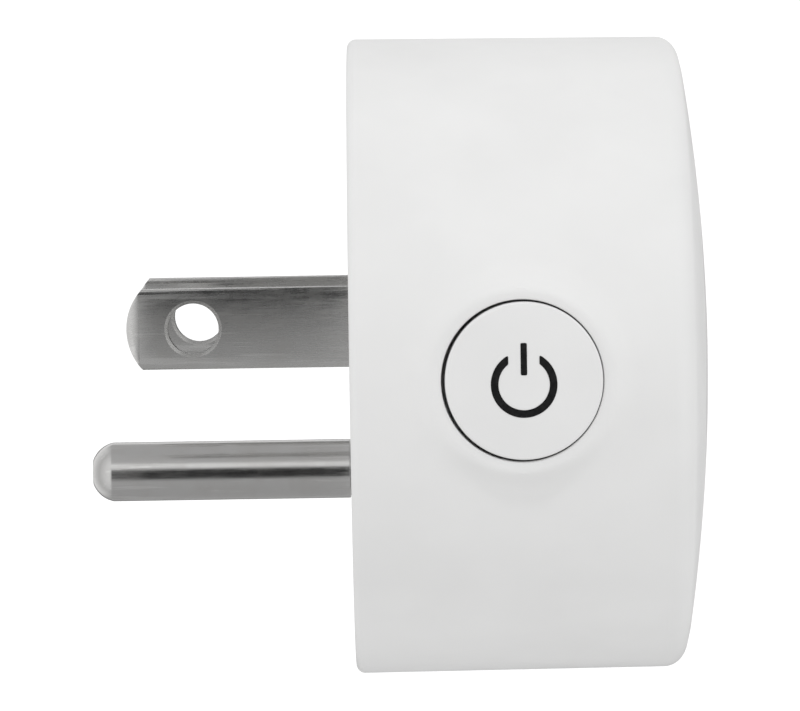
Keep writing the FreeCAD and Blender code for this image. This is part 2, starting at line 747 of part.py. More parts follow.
def blade_contact(label, side):
    """A folded spring contact: two leaves that pinch a blade, and a tail into the board."""
    name = label.split("_")[0] + "_spring"
    outside = [
        ("0", "contact_reach"),
        ("contact_knee", "contact_reach"),
        (CONTACT_PINCH, "contact_gap / 2 + contact_stock"),
        (CONTACT_LONG, "contact_mouth + contact_stock"),
    ]
    inside = [
        (CONTACT_LONG, "contact_mouth"),
        (CONTACT_PINCH, "contact_gap / 2"),
        ("contact_knee", "contact_reach - contact_stock"),
        ("contact_stock", "contact_reach - contact_stock"),
    ]
    leaf = outside + inside
    other = [(along, f"-({up})") for along, up in reversed(leaf)]
    fold = plate(name + "_fold", "XY_Plane", leaf + other, "contact_tall",
                 (CONTACT_BACK, side, "blade_height"))
    tail_low = "(blade_height - contact_tall / 2)"
    tail = block(name + "_tail",
                 ("board_back - tail_past_board", f"{side} - contact_tail_thick / 2", tail_low),
                 (f"{CONTACT_BACK} - board_back + tail_past_board + contact_stock / 2",
                  "contact_tail_thick", "contact_tail_width"))
    keep(label, joined(name, [fold, tail]))


def ground_contact():
    """A split sleeve that grips the ground pin of what is plugged in."""
    start = f"({CARRIER_BACK} + ground_clip_start)"
    clip_long = f"({INSERT_BACK} - ground_clip_short_of_insert - {start})"
    outer = "(ground_clip_radius + ground_clip_stock)"
    sleeve = rod("ground_sleeve", (start, "0", GROUND_HEIGHT), "X", outer, clip_long)
    keep("ground_contact", cut("ground_clip", sleeve, [
        rod("ground_clip_bore", (f"{start} - 1", "0", GROUND_HEIGHT), "X", "ground_clip_radius",
            f"{clip_long} + 2"),
        block("ground_clip_opening", (f"{start} - 1", "-ground_clip_slit / 2", GROUND_HEIGHT),
              (f"{clip_long} + 2", "ground_clip_slit", f"{outer} + 1")),
    ]))


def ground_strap():
    """The strip from the ground pin's tail, through the board's opening, to the ground contact."""
    top = f"({GROUND_HEIGHT} - ground_clip_radius - ground_clip_stock - strap_gap)"
    low = f"({top} - strap_stock)"
    plate_high = f"({GROUND_HEIGHT} + pin_tail_radius + strap_stock)"
    end = f"({CARRIER_BACK} + ground_clip_start + strap_under_clip)"
    upright = block("strap_upright", (PRONG_BLOCK_FRONT, "-pin_tail_radius - strap_stock", low),
                    ("strap_stock", "2 * (pin_tail_radius + strap_stock)", f"{plate_high} - {low}"))
    run = block("strap_run", (PRONG_BLOCK_FRONT, "-strap_width / 2", low),
                (f"{end} - {PRONG_BLOCK_FRONT}", "strap_width", "strap_stock"))
    hole = rod("strap_hole", (f"{PRONG_BLOCK_FRONT} - 1", "0", GROUND_HEIGHT), "X",
               "pin_tail_radius + strap_gap", "strap_stock + 2")
    keep("ground_strap", cut("strap", joined("strap_solid", [upright, run]), [hole]))


def main_board():
    """The round circuit board, clamped between the cover's tubes and the housing's posts."""
    disc = rod("board_disc", ("board_back", "0", "0"), "X", f"{CAVITY_RADIUS} - board_edge_gap",
               "board_thick")
    start, deep = "board_back - 1", "board_thick + 2"
    holes = [rod("board_ground_opening", (start, "0", GROUND_HEIGHT), "X", "board_ground_hole", deep)]
    notch_side = f"({FLANGE_INSIDE} + button_travel + board_button_notch)"
    notch_half = "(button_flange_radius + board_button_notch)"
    holes.append(block("board_button_opening", (start, f"-{CAVITY_RADIUS}", f"-{notch_half}"),
                       (deep, f"{CAVITY_RADIUS} + {notch_side}", f"2 * {notch_half}")))
    tail_middle = "(blade_height - contact_tall / 2 + contact_tail_width / 2)"
    for name, at in (("line", BLADE_SIDE), ("neutral", f"-{BLADE_SIDE}")):
        holes.append(middle_block(f"board_{name}_prong_slot", start, (at, "blade_height"),
                                  (deep, "blade_thick + board_hole_slack",
                                   "blade_tail_width + board_hole_slack")))
        holes.append(middle_block(f"board_{name}_contact_slot", start, (at, tail_middle),
                                  (deep, "contact_tail_thick + board_hole_slack",
                                   "contact_tail_width + board_hole_slack")))
    for number, corner in enumerate(SCREW_CORNERS, start=1):
        side, height = screw_place(corner)
        holes.append(rod(f"board_screw_hole_{number}", (start, side, height), "X",
                         "screw_radius + board_hole_slack", deep))
    keep("main_board", cut("board", disc, holes))


def button():
    """The push button, with a flange that keeps it in and a stem that meets the switch.

    Its own weight and slack leave it a little to the front of its hole.
    """
    skin_back = f"({BUTTON_FACE} + button_skin)"
    skirt_inside = "(button_radius - button_skirt)"
    keep("button_cap", turned("cap", "XY_Plane", "V_Axis", [
        ("0", BUTTON_FACE),
        ("button_radius", BUTTON_FACE),
        ("button_radius", FLANGE_OUTSIDE),
        ("button_flange_radius", FLANGE_OUTSIDE),
        ("button_flange_radius", FLANGE_INSIDE),
        (skirt_inside, FLANGE_INSIDE),
        (skirt_inside, skin_back),
        ("button_stem_radius", skin_back),
        ("button_stem_radius", STEM_END),
        ("0", STEM_END),
    ], (BUTTON_MIDDLE, "0", "0")))


def button_symbol():
    """The power mark on the button: an open ring and a bar."""
    face = f"({BUTTON_FACE} - symbol_thick)"
    centre = (BUTTON_MIDDLE, face, "-symbol_drop")
    opening = block("symbol_gap", (f"{BUTTON_MIDDLE} - symbol_opening / 2", face, "-symbol_drop"),
                    ("symbol_opening", "symbol_thick", "symbol_radius"))
    ring = cut("symbol_ring", rod("symbol_disc", centre, "Y", "symbol_radius", "symbol_thick"), [
        rod("symbol_middle", centre, "Y", "symbol_radius - symbol_stroke", "symbol_thick"),
        opening,
    ])
    bar = block("symbol_bar",
                (f"{BUTTON_MIDDLE} - symbol_bar_wide / 2", face,
                 "symbol_bar_top - symbol_drop - symbol_bar_long"),
                ("symbol_bar_wide", "symbol_thick", "symbol_bar_long"))
    mark = document.addObject("Part::Compound", "symbol")
    mark.Links = [ring, bar]
    keep("button_symbol", mark)


def switch():
    """The side-facing tactile switch: its body on feet, and the plunger under the button's stem."""
    middle = ("button_depth - switch_size / 2", SWITCH_FACE, "-switch_size / 2")
    solid = block("switch_solid", middle, ("switch_size", "switch_deep", "switch_size"))
    feet = block("switch_foot", (BOARD_FRONT, f"{SWITCH_FACE} + switch_deep / 2 - switch_feet / 2",
                                 "-switch_size / 2"),
                 (f"button_depth - {BOARD_FRONT}", "switch_feet", "switch_size"))
    room_deep = "(plunger_long - plunger_showing + button_travel + plunger_overtravel)"
    room = rod("switch_room", ("button_depth", f"{SWITCH_FACE} - 1", "0"), "Y",
               "plunger_radius + plunger_clearance", f"1 + {room_deep}")
    keep("switch_body", cut("switch_shell", joined("switch_stock", [solid, feet]), [room]))
    keep("switch_plunger", rod("plunger", ("button_depth", PLUNGER_FACE, "0"), "Y",
                               "plunger_radius", "plunger_long"))


def relay():
    """The load relay, with its armature free to tip about the top edge of the yoke."""
    low = (RELAY_BACK, "-relay_wide / 2", RELAY_LOW)
    case_long = f"({RELAY_FRONT} - {RELAY_FLOOR})"
    back = (f"{RELAY_BACK} - 2", "0", "0")
    whole = f"{RELAY_FRONT} - {RELAY_BACK} + 4"
    # The corners of a bigger relay follow the housing's wall.
    floor = block("relay_floor", low, ("relay_base_thick", "relay_wide", "relay_tall"))
    keep("relay_base", shared("relay_floor_in_reach", floor,
                              rod("relay_floor_reach", back, "X", RELAY_REACH, whole)))
    case = block("relay_case_solid", (RELAY_FLOOR, "-relay_wide / 2", RELAY_LOW),
                 (case_long, "relay_wide", "relay_tall"))
    inside = block("relay_case_inside",
                   (f"{RELAY_FLOOR} - 1", "-relay_wide / 2 + relay_wall", f"{RELAY_LOW} + relay_wall"),
                   (f"{case_long} + 1 - relay_wall", "relay_wide - 2 * relay_wall",
                    "relay_tall - 2 * relay_wall"))
    outer = shared("relay_case_in_reach", case,
                   rod("relay_case_reach", back, "X", RELAY_REACH, whole))
    inner = shared("relay_room_in_reach", inside,
                   rod("relay_room_reach", back, "X", f"{RELAY_REACH} - relay_wall", whole))
    keep("relay_case", cut("relay_shell", outer, [inner]))

    bore = "(core_radius + core_clearance)"
    at = (COIL_SIDE, RELAY_MIDDLE)
    flange = "(coil_radius + bobbin_lip)"
    tube = f"({bore} + bobbin_bore_wall)"
    second = f"({BOBBIN_BACK} + bobbin_flange + {COIL_LONG})"
    spool = joined("bobbin_solid", [
        rod("bobbin_tube", (BOBBIN_BACK, *at), "X", tube, BOBBIN_LONG),
        rod("bobbin_back_flange", (BOBBIN_BACK, *at), "X", flange, "bobbin_flange"),
        rod("bobbin_front_flange", (second, *at), "X", flange, "bobbin_flange"),
    ])
    bobbin_bore = rod("bobbin_bore", (f"{BOBBIN_BACK} - 1", *at), "X", bore, f"{BOBBIN_LONG} + 2")
    keep("relay_bobbin", cut("bobbin", spool, [bobbin_bore]))
    winding = rod("coil_solid", (f"{BOBBIN_BACK} + bobbin_flange", *at), "X", "coil_radius", COIL_LONG)
    coil_bore = rod("coil_bore", (BOBBIN_BACK, *at), "X", tube, BOBBIN_LONG)
    keep("relay_coil", cut("coil", winding, [coil_bore]))

    yoke_low = f"({RELAY_MIDDLE} - yoke_tall / 2)"
    foot_side = f"({COIL_SIDE} - core_radius - core_to_foot_edge)"
    keep("relay_yoke", joined("yoke", [
        rod("yoke_core", (RELAY_FLOOR, *at), "X", "core_radius", f"{CORE_TOP} - {RELAY_FLOOR}"),
        block("yoke_foot", (RELAY_FLOOR, foot_side, yoke_low),
              ("yoke_thick", f"{YOKE_SIDE} + yoke_thick - {foot_side}", "yoke_tall")),
        block("yoke_upright", (RELAY_FLOOR, YOKE_SIDE, yoke_low),
              (f"{YOKE_TOP} - {RELAY_FLOOR}", "yoke_thick", "yoke_tall")),
    ]))

    armature_side = f"({COIL_SIDE} - core_radius - core_to_armature_edge)"
    keep("relay_armature", block("armature", (ARMATURE_BACK, armature_side, yoke_low),
                                 ("armature_thick", f"{YOKE_SIDE} + yoke_thick - {armature_side}",
                                  "yoke_tall")))
    arm_low = f"({RELAY_MIDDLE} - arm_tall / 2)"
    keep("relay_contact_arm", block("arm", (ARMATURE_FRONT, f"{COIL_SIDE} - core_radius", arm_low),
                                    ("arm_stock", f"{ARM_END} - {COIL_SIDE} + core_radius", "arm_tall")))
    keep("relay_moving_contact", rod("moving_contact", (ARM_FRONT, CONTACT_SIDE, RELAY_MIDDLE), "X",
                                     "relay_contact_radius", "relay_contact_thick"))
    shelf_side = f"({CONTACT_SIDE} - relay_contact_radius)"
    keep("relay_fixed_contact", joined("fixed_contact", [
        rod("fixed_button", (FIXED_FACE, CONTACT_SIDE, RELAY_MIDDLE), "X", "relay_contact_radius",
            "relay_contact_thick + relay_leg_thick / 2"),
        block("fixed_shelf", (FIXED_BACK, shelf_side, arm_low),
              ("relay_leg_thick", f"{LEG_SIDE} - {shelf_side}", "arm_tall")),
        block("fixed_leg", (RELAY_FLOOR, f"{LEG_SIDE} - relay_leg_thick", arm_low),
              (f"{FIXED_BACK} + relay_leg_thick - {RELAY_FLOOR}", "relay_leg_thick", "arm_tall")),
    ]))


def supply_parts():
    """The low-voltage supply: capacitors, choke, rectifier, regulator, fuse and varistor."""
    heights = {
        "bulk_capacitor": "capacitor_upper",
        "filter_capacitor": "(capacitor_upper - capacitor_spacing)",
        "choke": "(capacitor_upper - 2 * capacitor_spacing)",
    }
    for label in ("bulk_capacitor", "filter_capacitor"):
        keep(label, rod(label + "_can", (BOARD_FRONT, CAPACITOR_SIDE, heights[label]), "X",
                        "capacitor_radius", label + "_long"))
    keep("choke", turned("choke_drum", "XZ_Plane", "H_Axis", [
        ("0", "0"),
        ("0", "capacitor_radius"),
        ("choke_flange", "capacitor_radius"),
        ("choke_flange", "capacitor_radius - choke_waist"),
        ("choke_long - choke_flange", "capacitor_radius - choke_waist"),
        ("choke_long - choke_flange", "capacitor_radius"),
        ("choke_long", "capacitor_radius"),
        ("choke_long", "0"),
    ], (BOARD_FRONT, CAPACITOR_SIDE, heights["choke"])))
    keep("film_capacitor", block(
        "film_box",
        (BOARD_FRONT, "-film_capacitor_wide / 2 - film_capacitor_shift",
         f"{UNDER_CARRIER} - film_capacitor_tall"),
        ("film_capacitor_long", "film_capacitor_wide", "film_capacitor_tall")))
    keep("varistor", rod("varistor_disc",
                         (f"{BOARD_FRONT} + varistor_radius", "varistor_side - varistor_thick / 2",
                          f"{CARRIER_BOTTOM} - part_gap / 2 - varistor_radius"),
                         "Y", "varistor_radius", "varistor_thick"))
    keep("fuse_resistor", rod("fuse_rod",
                              (BOARD_FRONT, "-fuse_side", f"{CARRIER_BOTTOM} - part_gap - fuse_radius"),
                              "X", "fuse_radius", "fuse_long"))
    beside = f"(-{CARRIER_SIDE} - part_gap / 2 - rectifier_size / 2)"
    keep("rectifier", middle_block("rectifier_case", BOARD_FRONT, (beside, "-chip_drop"),
                                   ("rectifier_tall", "rectifier_size", "rectifier_size")))
    keep("regulator_chip", middle_block("regulator_case", BOARD_FRONT, (beside, "chip_drop"),
                                        ("regulator_tall", "regulator_wide", "regulator_long")))


def metering_parts():
    """The current shunt and the metering chip, on the back of the board."""
    bridge_back = "(board_back - shunt_stand - shunt_stock)"
    shunt = [block("shunt_bridge", (bridge_back, "shunt_side - shunt_long / 2", "-shunt_tall / 2"),
                   ("shunt_stock", "shunt_long", "shunt_tall"))]
    for number, side in enumerate(("shunt_side - shunt_long / 2",
                                   "shunt_side + shunt_long / 2 - shunt_stock"), start=1):
        shunt.append(block(f"shunt_leg_{number}", (bridge_back, side, "-shunt_tall / 2"),
                           ("shunt_stock + shunt_stand", "shunt_stock", "shunt_tall")))
    keep("shunt_resistor", joined("shunt", shunt))
    keep("metering_chip", middle_block("metering_case", "board_back - meter_chip_tall",
                                       ("-meter_chip_side", "0"),
                                       ("meter_chip_tall", "meter_chip_wide", "meter_chip_long")))


def radio_parts():
    """The radio module, upright on the board, and its metal shield."""
    keep("radio_board", middle_block("radio_plate", BOARD_FRONT,
                                     (f"{RADIO_SIDE} + radio_board_thick / 2", "0"),
                                     (f"{INSERT_BACK} - {BOARD_FRONT} - part_gap",
                                      "radio_board_thick", "radio_board_tall")))
    keep("radio_shield", middle_block("radio_can", f"{BOARD_FRONT} + radio_shield_edge",
                                      (f"{RADIO_SIDE} + radio_board_thick + radio_shield_deep / 2", "0"),
                                      ("radio_shield_long", "radio_shield_deep", "radio_shield_tall")))
    keep("status_led", middle_block("led_case", BOARD_FRONT, (f"-{CAVITY_RADIUS} + led_inset", "led_up"),
                                    ("led_tall", "led_size", "led_size")))


front_housing()
rear_cover()
cover_screws()
blade("line_blade", BLADE_SIDE)
blade("neutral_blade", f"-{BLADE_SIDE}")
ground_pin()
prong_carrier()
outlet_insert()
contact_carrier()
blade_contact("line_contact", BLADE_SIDE)
blade_contact("neutral_contact", f"-{BLADE_SIDE}")
ground_contact()
ground_strap()
main_board()
button()
button_symbol()
switch()
relay()
supply_parts()
metering_parts()
radio_parts()

document.recompute()
failed = [item.Name for item in document.Objects if {"Invalid", "Error"} & set(item.State)]
bad = [item.Label for item in sub_parts if item.Shape.isNull() or not item.Shape.isValid()]
if failed or bad:
    raise SystemExit(f"failed objects: {failed}; bad shapes: {bad}")

os.makedirs("parts", exist_ok=True)
for item in sub_parts:
    item.Shape.exportStep(f"parts/{item.Label}.step")
print(f"{len(sub_parts)} sub-parts written")
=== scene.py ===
"""A round plug-in power meter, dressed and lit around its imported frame."""
import logging
import math
from dataclasses import dataclass, field
from enum import Enum
from typing import Callable, Iterable, Sequence

import bmesh
import bpy
from mathutils import Matrix, Vector


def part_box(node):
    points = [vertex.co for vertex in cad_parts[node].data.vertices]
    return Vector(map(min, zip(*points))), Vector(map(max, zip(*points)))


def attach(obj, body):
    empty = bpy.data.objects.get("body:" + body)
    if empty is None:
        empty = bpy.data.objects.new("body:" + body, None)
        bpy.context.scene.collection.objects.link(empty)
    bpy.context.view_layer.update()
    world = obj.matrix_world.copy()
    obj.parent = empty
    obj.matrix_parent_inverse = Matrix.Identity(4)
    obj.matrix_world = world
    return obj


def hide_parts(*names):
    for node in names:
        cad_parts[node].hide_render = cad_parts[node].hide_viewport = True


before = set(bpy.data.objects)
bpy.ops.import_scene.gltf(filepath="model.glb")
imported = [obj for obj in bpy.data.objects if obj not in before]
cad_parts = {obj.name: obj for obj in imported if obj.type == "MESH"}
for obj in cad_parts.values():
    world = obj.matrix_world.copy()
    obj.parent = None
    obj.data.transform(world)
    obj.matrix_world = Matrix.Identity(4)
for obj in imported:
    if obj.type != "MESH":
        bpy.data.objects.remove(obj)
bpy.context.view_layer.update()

MM = 0.001
ON_AXIS = 1e-6
MERGE = 0.0005
SLIVER = 1e-9
MIX_FIRST, MIX_SECOND, MIX_RESULT = 6, 7, 2
WHITE = (1.0, 1.0, 1.0, 1.0)
LOG = logging.getLogger("power_meter")
BMesh = bmesh.types.BMesh
BMVert = bmesh.types.BMVert
BMEdge = bmesh.types.BMEdge
BMFace = bmesh.types.BMFace
Socket = bpy.types.NodeSocket
Material = bpy.types.Material
Piece = bpy.types.Object
Colour = tuple[float, float, float]
Corner = tuple[float, float, float]
Point = tuple[float, float]


def node_box(node: str) -> tuple[Vector, Vector]:
    """Lowest and highest corner of a CAD node at rest, in millimetres."""
    low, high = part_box(node)
    return Vector(low) / MM, Vector(high) / MM


def node_middle(node: str) -> Vector:
    """Middle of a CAD node's box, in millimetres."""
    low, high = node_box(node)
    return (low + high) / 2


class Sheet:
    """A material's node tree, with short ways to add and feed nodes."""

    def __init__(self, name: str) -> None:
        """Start a material with only a principled shader and an output.

        Args:
            name: Name of the finish.
        """
        self.material = bpy.data.materials.new(f"finish_{name}")
        self.material.use_nodes = True
        self.tree = self.material.node_tree
        self.tree.nodes.clear()
        self.shader = self.add("ShaderNodeBsdfPrincipled")
        self.output = self.add("ShaderNodeOutputMaterial",
                               {"Surface": self.shader.outputs["BSDF"]})
        self.place = self.add("ShaderNodeTexCoord").outputs["Object"]

    def add(self, kind: str, values: dict[str | int, object] | None = None,
            **settings: object) -> bpy.types.Node:
        """Add a node.

        Args:
            kind: Type of the node.
            values: Constants for its inputs, or sockets that feed them.
            settings: Properties to set on it.

        Returns:
            The new node.
        """
        node = self.tree.nodes.new(kind)
        for name, value in settings.items():
            setattr(node, name, value)
        self.feed(node, values or {})
        return node

    def feed(self, node: bpy.types.Node, values: dict[str | int, object]) -> None:
        """Give a node's inputs their constants or links.

        Args:
            node: The node.
            values: A constant or a socket for each input.
        """
        for name, value in values.items():
            if isinstance(value, Socket):
                self.tree.links.new(value, node.inputs[name])
            else:
                node.inputs[name].default_value = value

    def set(self, **values: object) -> None:
        """Feed the shader's own inputs, with _ for a space in a name."""
        self.feed(self.shader, {name.replace("_", " "): value for name, value in values.items()})

    def axes(self) -> bpy.types.bpy_prop_collection:
        """X, Y and Z of the object coordinates."""
        return self.add("ShaderNodeSeparateXYZ", {"Vector": self.place}).outputs

    def stretch(self, scale: Colour) -> Socket:
        """Object coordinates scaled by a different amount along each axis."""
        return self.add("ShaderNodeMapping",
                        {"Scale": scale, "Vector": self.place}).outputs["Vector"]

    def noise(self, size: float, detail: float = 4.0, rough: float = 0.55,
              where: Socket | None = None) -> Socket:
        """Noise whose blobs are about one size across.

        Args:
            size: Size of a blob in millimetres.
            detail: Octaves.
            rough: Share that each octave keeps.
            where: Coordinates, or None for object coordinates.

        Returns:
            The noise value.
        """
        return self.add("ShaderNodeTexNoise", {
            "Scale": 1 / (size * MM), "Detail": detail, "Roughness": rough,
            "Vector": where or self.place}).outputs["Fac"]

    def ramp(self, source: Socket, low: float, high: float, to_low: float = 0.0,
             to_high: float = 1.0) -> Socket:
        """Map a value from one range to another, held at its ends.

        Args:
            source: The value.
            low: Value that becomes to_low.
            high: Value that becomes to_high.
            to_low: First end of the new range.
            to_high: Last end of the new range.

        Returns:
            The mapped value.
        """
        return self.add("ShaderNodeMapRange", {
            "From Min": low, "From Max": high, "To Min": to_low, "To Max": to_high,
            "Value": source}).outputs["Result"]

    def maths(self, operation: str, first: Socket, second: Socket | float) -> Socket:
        """Combine two values with one maths operation."""
        return self.add("ShaderNodeMath", {0: first, 1: second},
                        operation=operation).outputs["Value"]

    def blend(self, share: Socket, first: Socket | Colour, second: Socket | Colour,
              how: str = "MIX") -> Socket:
        """Mix two colours.

        Args:
            share: Share of the second colour.
            first: First colour.
            second: Second colour.
            how: Blend type.

        Returns:
            The mixed colour.
        """
        one, two = (colour if isinstance(colour, Socket) else (*colour, 1.0)
                    for colour in (first, second))
        return self.add("ShaderNodeMix", {"Factor": share, MIX_FIRST: one, MIX_SECOND: two},
                        data_type="RGBA", blend_type=how).outputs[MIX_RESULT]

    def bump(self, height: Socket, depth: float, strength: float = 1.0,
             after: Socket | None = None) -> Socket:
        """Turn a height into a normal, which is also joined to the shader.

        Args:
            height: Height from 0 to 1.
            depth: What a height of 1 stands for, in millimetres.
            strength: Share of the effect.
            after: Normal of another bump to add this one to.

        Returns:
            The bumped normal.
        """
        values = {"Strength": strength, "Distance": depth * MM, "Height": height}
        if after is not None:
            values["Normal"] = after
        normal = self.add("ShaderNodeBump", values).outputs["Normal"]
        self.set(Normal=normal)
        return normal


@dataclass(frozen=True)
class MouldedPlastic:
    """Injection-moulded plastic with a fine eroded grain and faint handling marks."""

    name: str
    colour: Colour
    roughness: float = 0.42
    grain: float = 0.16
    grain_depth: float = 0.004
    tint: float = 0.03
    glow: float = 0.0
    cloud: float = 9.0
    smudge: float = 3.2
    wave: float = 6.0
    wave_depth: float = 0.012
    glow_deep: float = 0.6

    def build(self) -> Material:
        """Make the material."""
        sheet = Sheet(self.name)
        share = sheet.ramp(sheet.noise(self.cloud, 3.0), 0.35, 0.65)
        darker = tuple(channel * (1 - self.tint) for channel in self.colour)
        smudge = sheet.noise(self.smudge, 5.0, 0.65)
        soft = sheet.bump(sheet.noise(self.wave, 1.0), self.wave_depth, 0.6)
        sheet.bump(sheet.noise(self.grain, 2.0), self.grain_depth, 1.0, soft)
        sheet.set(Base_Color=sheet.blend(share, self.colour, darker), IOR=1.5,
                  Roughness=sheet.ramp(smudge, 0.3, 0.7, self.roughness - 0.05,
                                       self.roughness + 0.07),
                  Subsurface_Weight=self.glow, Subsurface_Scale=self.glow_deep * MM)
        return sheet.material


@dataclass(frozen=True)
class PlatedProng:
    """Nickel-plated brass, drawn along its length and scuffed by outlet contacts."""

    name: str
    colour: Colour
    roughness: float = 0.3
    roll_off: float = 0.0
    drawn_depth: float = 0.0014
    middle: float = 2.9
    half: float = 3.175
    roll_power: float = 1.3
    drawn_size: float = 0.09
    scuff_size: float = 0.35
    scuff_depth: float = 0.002
    cloud: float = 2.4
    stain: Colour = (0.82, 0.80, 0.77)

    def rolled(self, sheet: Sheet) -> Socket:
        """Lean a rolled strip's flats, more and more away from their upper edge.

        Args:
            sheet: The material's tree.

        Returns:
            The leaning normal.
        """
        low, high = (self.middle - self.half) * MM, (self.middle + self.half) * MM
        share = sheet.ramp(sheet.axes()["Z"], low, high, 1.0, 0.0)
        height = sheet.maths("SUBTRACT", sheet.maths("POWER", share, self.roll_power), 1.0)
        return sheet.bump(sheet.maths("MULTIPLY", height, -1.0), self.roll_off)

    def build(self) -> Material:
        """Make the material."""
        sheet = Sheet(self.name)
        drawn = sheet.noise(self.drawn_size, 3.0, 0.6, sheet.stretch((0.035, 1.0, 1.0)))
        streaks = sheet.noise(self.scuff_size, 2.0, 0.5, sheet.stretch((0.05, 1.0, 1.0)))
        scuff = sheet.ramp(streaks, 0.60, 0.68)
        cloud = sheet.noise(self.cloud, 4.0, 0.6)
        worn = tuple(min(1.0, channel * 1.18) for channel in self.colour)
        mixed = sheet.blend(sheet.maths("MULTIPLY", scuff, 0.6), self.colour, worn)
        rough = sheet.ramp(drawn, 0.25, 0.75, self.roughness - 0.05, self.roughness + 0.08)
        patchy = sheet.ramp(cloud, 0.3, 0.7, -0.03, 0.05)
        leaning = self.rolled(sheet) if self.roll_off else None
        lines = sheet.bump(drawn, self.drawn_depth, 1.0, leaning)
        sheet.bump(scuff, self.scuff_depth, 0.5, lines)
        sheet.set(Base_Color=sheet.blend(sheet.ramp(cloud, 0.4, 0.75, 0.0, 0.35), mixed,
                                         self.stain, "MULTIPLY"),
                  Roughness=sheet.maths("ADD", rough, patchy), Metallic=1.0)
        return sheet.material


@dataclass(frozen=True)
class StampedMetal:
    """Sheet or wire metal with a rolled grain and a little tarnish."""

    name: str
    colour: Colour
    roughness: float = 0.32
    tarnish: Colour = (0.7, 0.66, 0.6)
    cloud: float = 1.8
    grain: float = 0.08
    grain_depth: float = 0.002

    def build(self) -> Material:
        """Make the material."""
        sheet = Sheet(self.name)
        cloud = sheet.noise(self.cloud, 5.0, 0.6)
        dull = tuple(a * b for a, b in zip(self.colour, self.tarnish))
        share = sheet.ramp(cloud, 0.45, 0.75, 0.0, 0.8)
        sheet.bump(sheet.noise(self.grain, 2.0, 0.6, sheet.stretch((1.0, 1.0, 0.08))),
                   self.grain_depth)
        sheet.set(Base_Color=sheet.blend(share, self.colour, dull), Metallic=1.0,
                  Roughness=sheet.ramp(cloud, 0.3, 0.7, self.roughness - 0.06,
                                       self.roughness + 0.14))
        return sheet.material


@dataclass(frozen=True)
class PrintedInk:
    """Pad-printed ink: a thin film with slightly uneven cover."""

    name: str
    colour: Colour
    cover: float = 0.25
    cover_depth: float = 0.002
    lift: float = 0.006

    def build(self) -> Material:
        """Make the material."""
        sheet = Sheet(self.name)
        cover = sheet.noise(self.cover, 4.0, 0.6)
        lighter = tuple(channel + self.lift for channel in self.colour)
        sheet.bump(cover, self.cover_depth)
        sheet.set(Base_Color=sheet.blend(sheet.ramp(cover, 0.4, 0.75), self.colour, lighter),
                  Roughness=sheet.ramp(cover, 0.3, 0.7, 0.34, 0.5), Specular_IOR_Level=0.25)
        return sheet.material


@dataclass(frozen=True)
class CircuitBoard:
    """Solder mask over copper tracks, which show as lighter raised lines."""

    name: str
    colour: Colour
    cell: float = 2.6
    track_depth: float = 0.03
    cloud: float = 4.0
    grain: float = 0.2
    grain_depth: float = 0.003

    def build(self) -> Material:
        """Make the material."""
        sheet = Sheet(self.name)
        cells = sheet.add("ShaderNodeTexVoronoi", {
            "Scale": 1 / (self.cell * MM), "Randomness": 0.8, "Vector": sheet.place,
        }, feature="DISTANCE_TO_EDGE", distance="CHEBYCHEV")
        track = sheet.ramp(cells.outputs["Distance"], 0.05, 0.08, 1.0, 0.0)
        lighter = tuple(min(1.0, channel * 1.7 + 0.01) for channel in self.colour)
        raised = sheet.bump(track, self.track_depth, 0.8)
        sheet.bump(sheet.noise(self.grain, 2.0), self.grain_depth, 0.6, raised)
        sheet.set(Base_Color=sheet.blend(track, self.colour, lighter),
                  Roughness=sheet.ramp(sheet.noise(self.cloud, 3.0), 0.3, 0.7, 0.24, 0.38),
                  Coat_Weight=0.3, Coat_Roughness=0.2)
        return sheet.material


@dataclass(frozen=True)
class StudioFloor:
    """The pale, plain floor."""

    name: str = "studio_floor"
    light: Colour = (0.93, 0.93, 0.93)
    dark: Colour = (0.915, 0.915, 0.915)
    cloud: float = 400.0
    glow: float = 0.12

    def build(self) -> Material:
        """Make the material."""
        sheet = Sheet(self.name)
        share = sheet.ramp(sheet.noise(self.cloud, 2.0), 0.3, 0.7)
        sheet.set(Base_Color=sheet.blend(share, self.light, self.dark), Roughness=0.9,
                  Emission_Color=WHITE, Emission_Strength=self.glow)
        return sheet.material


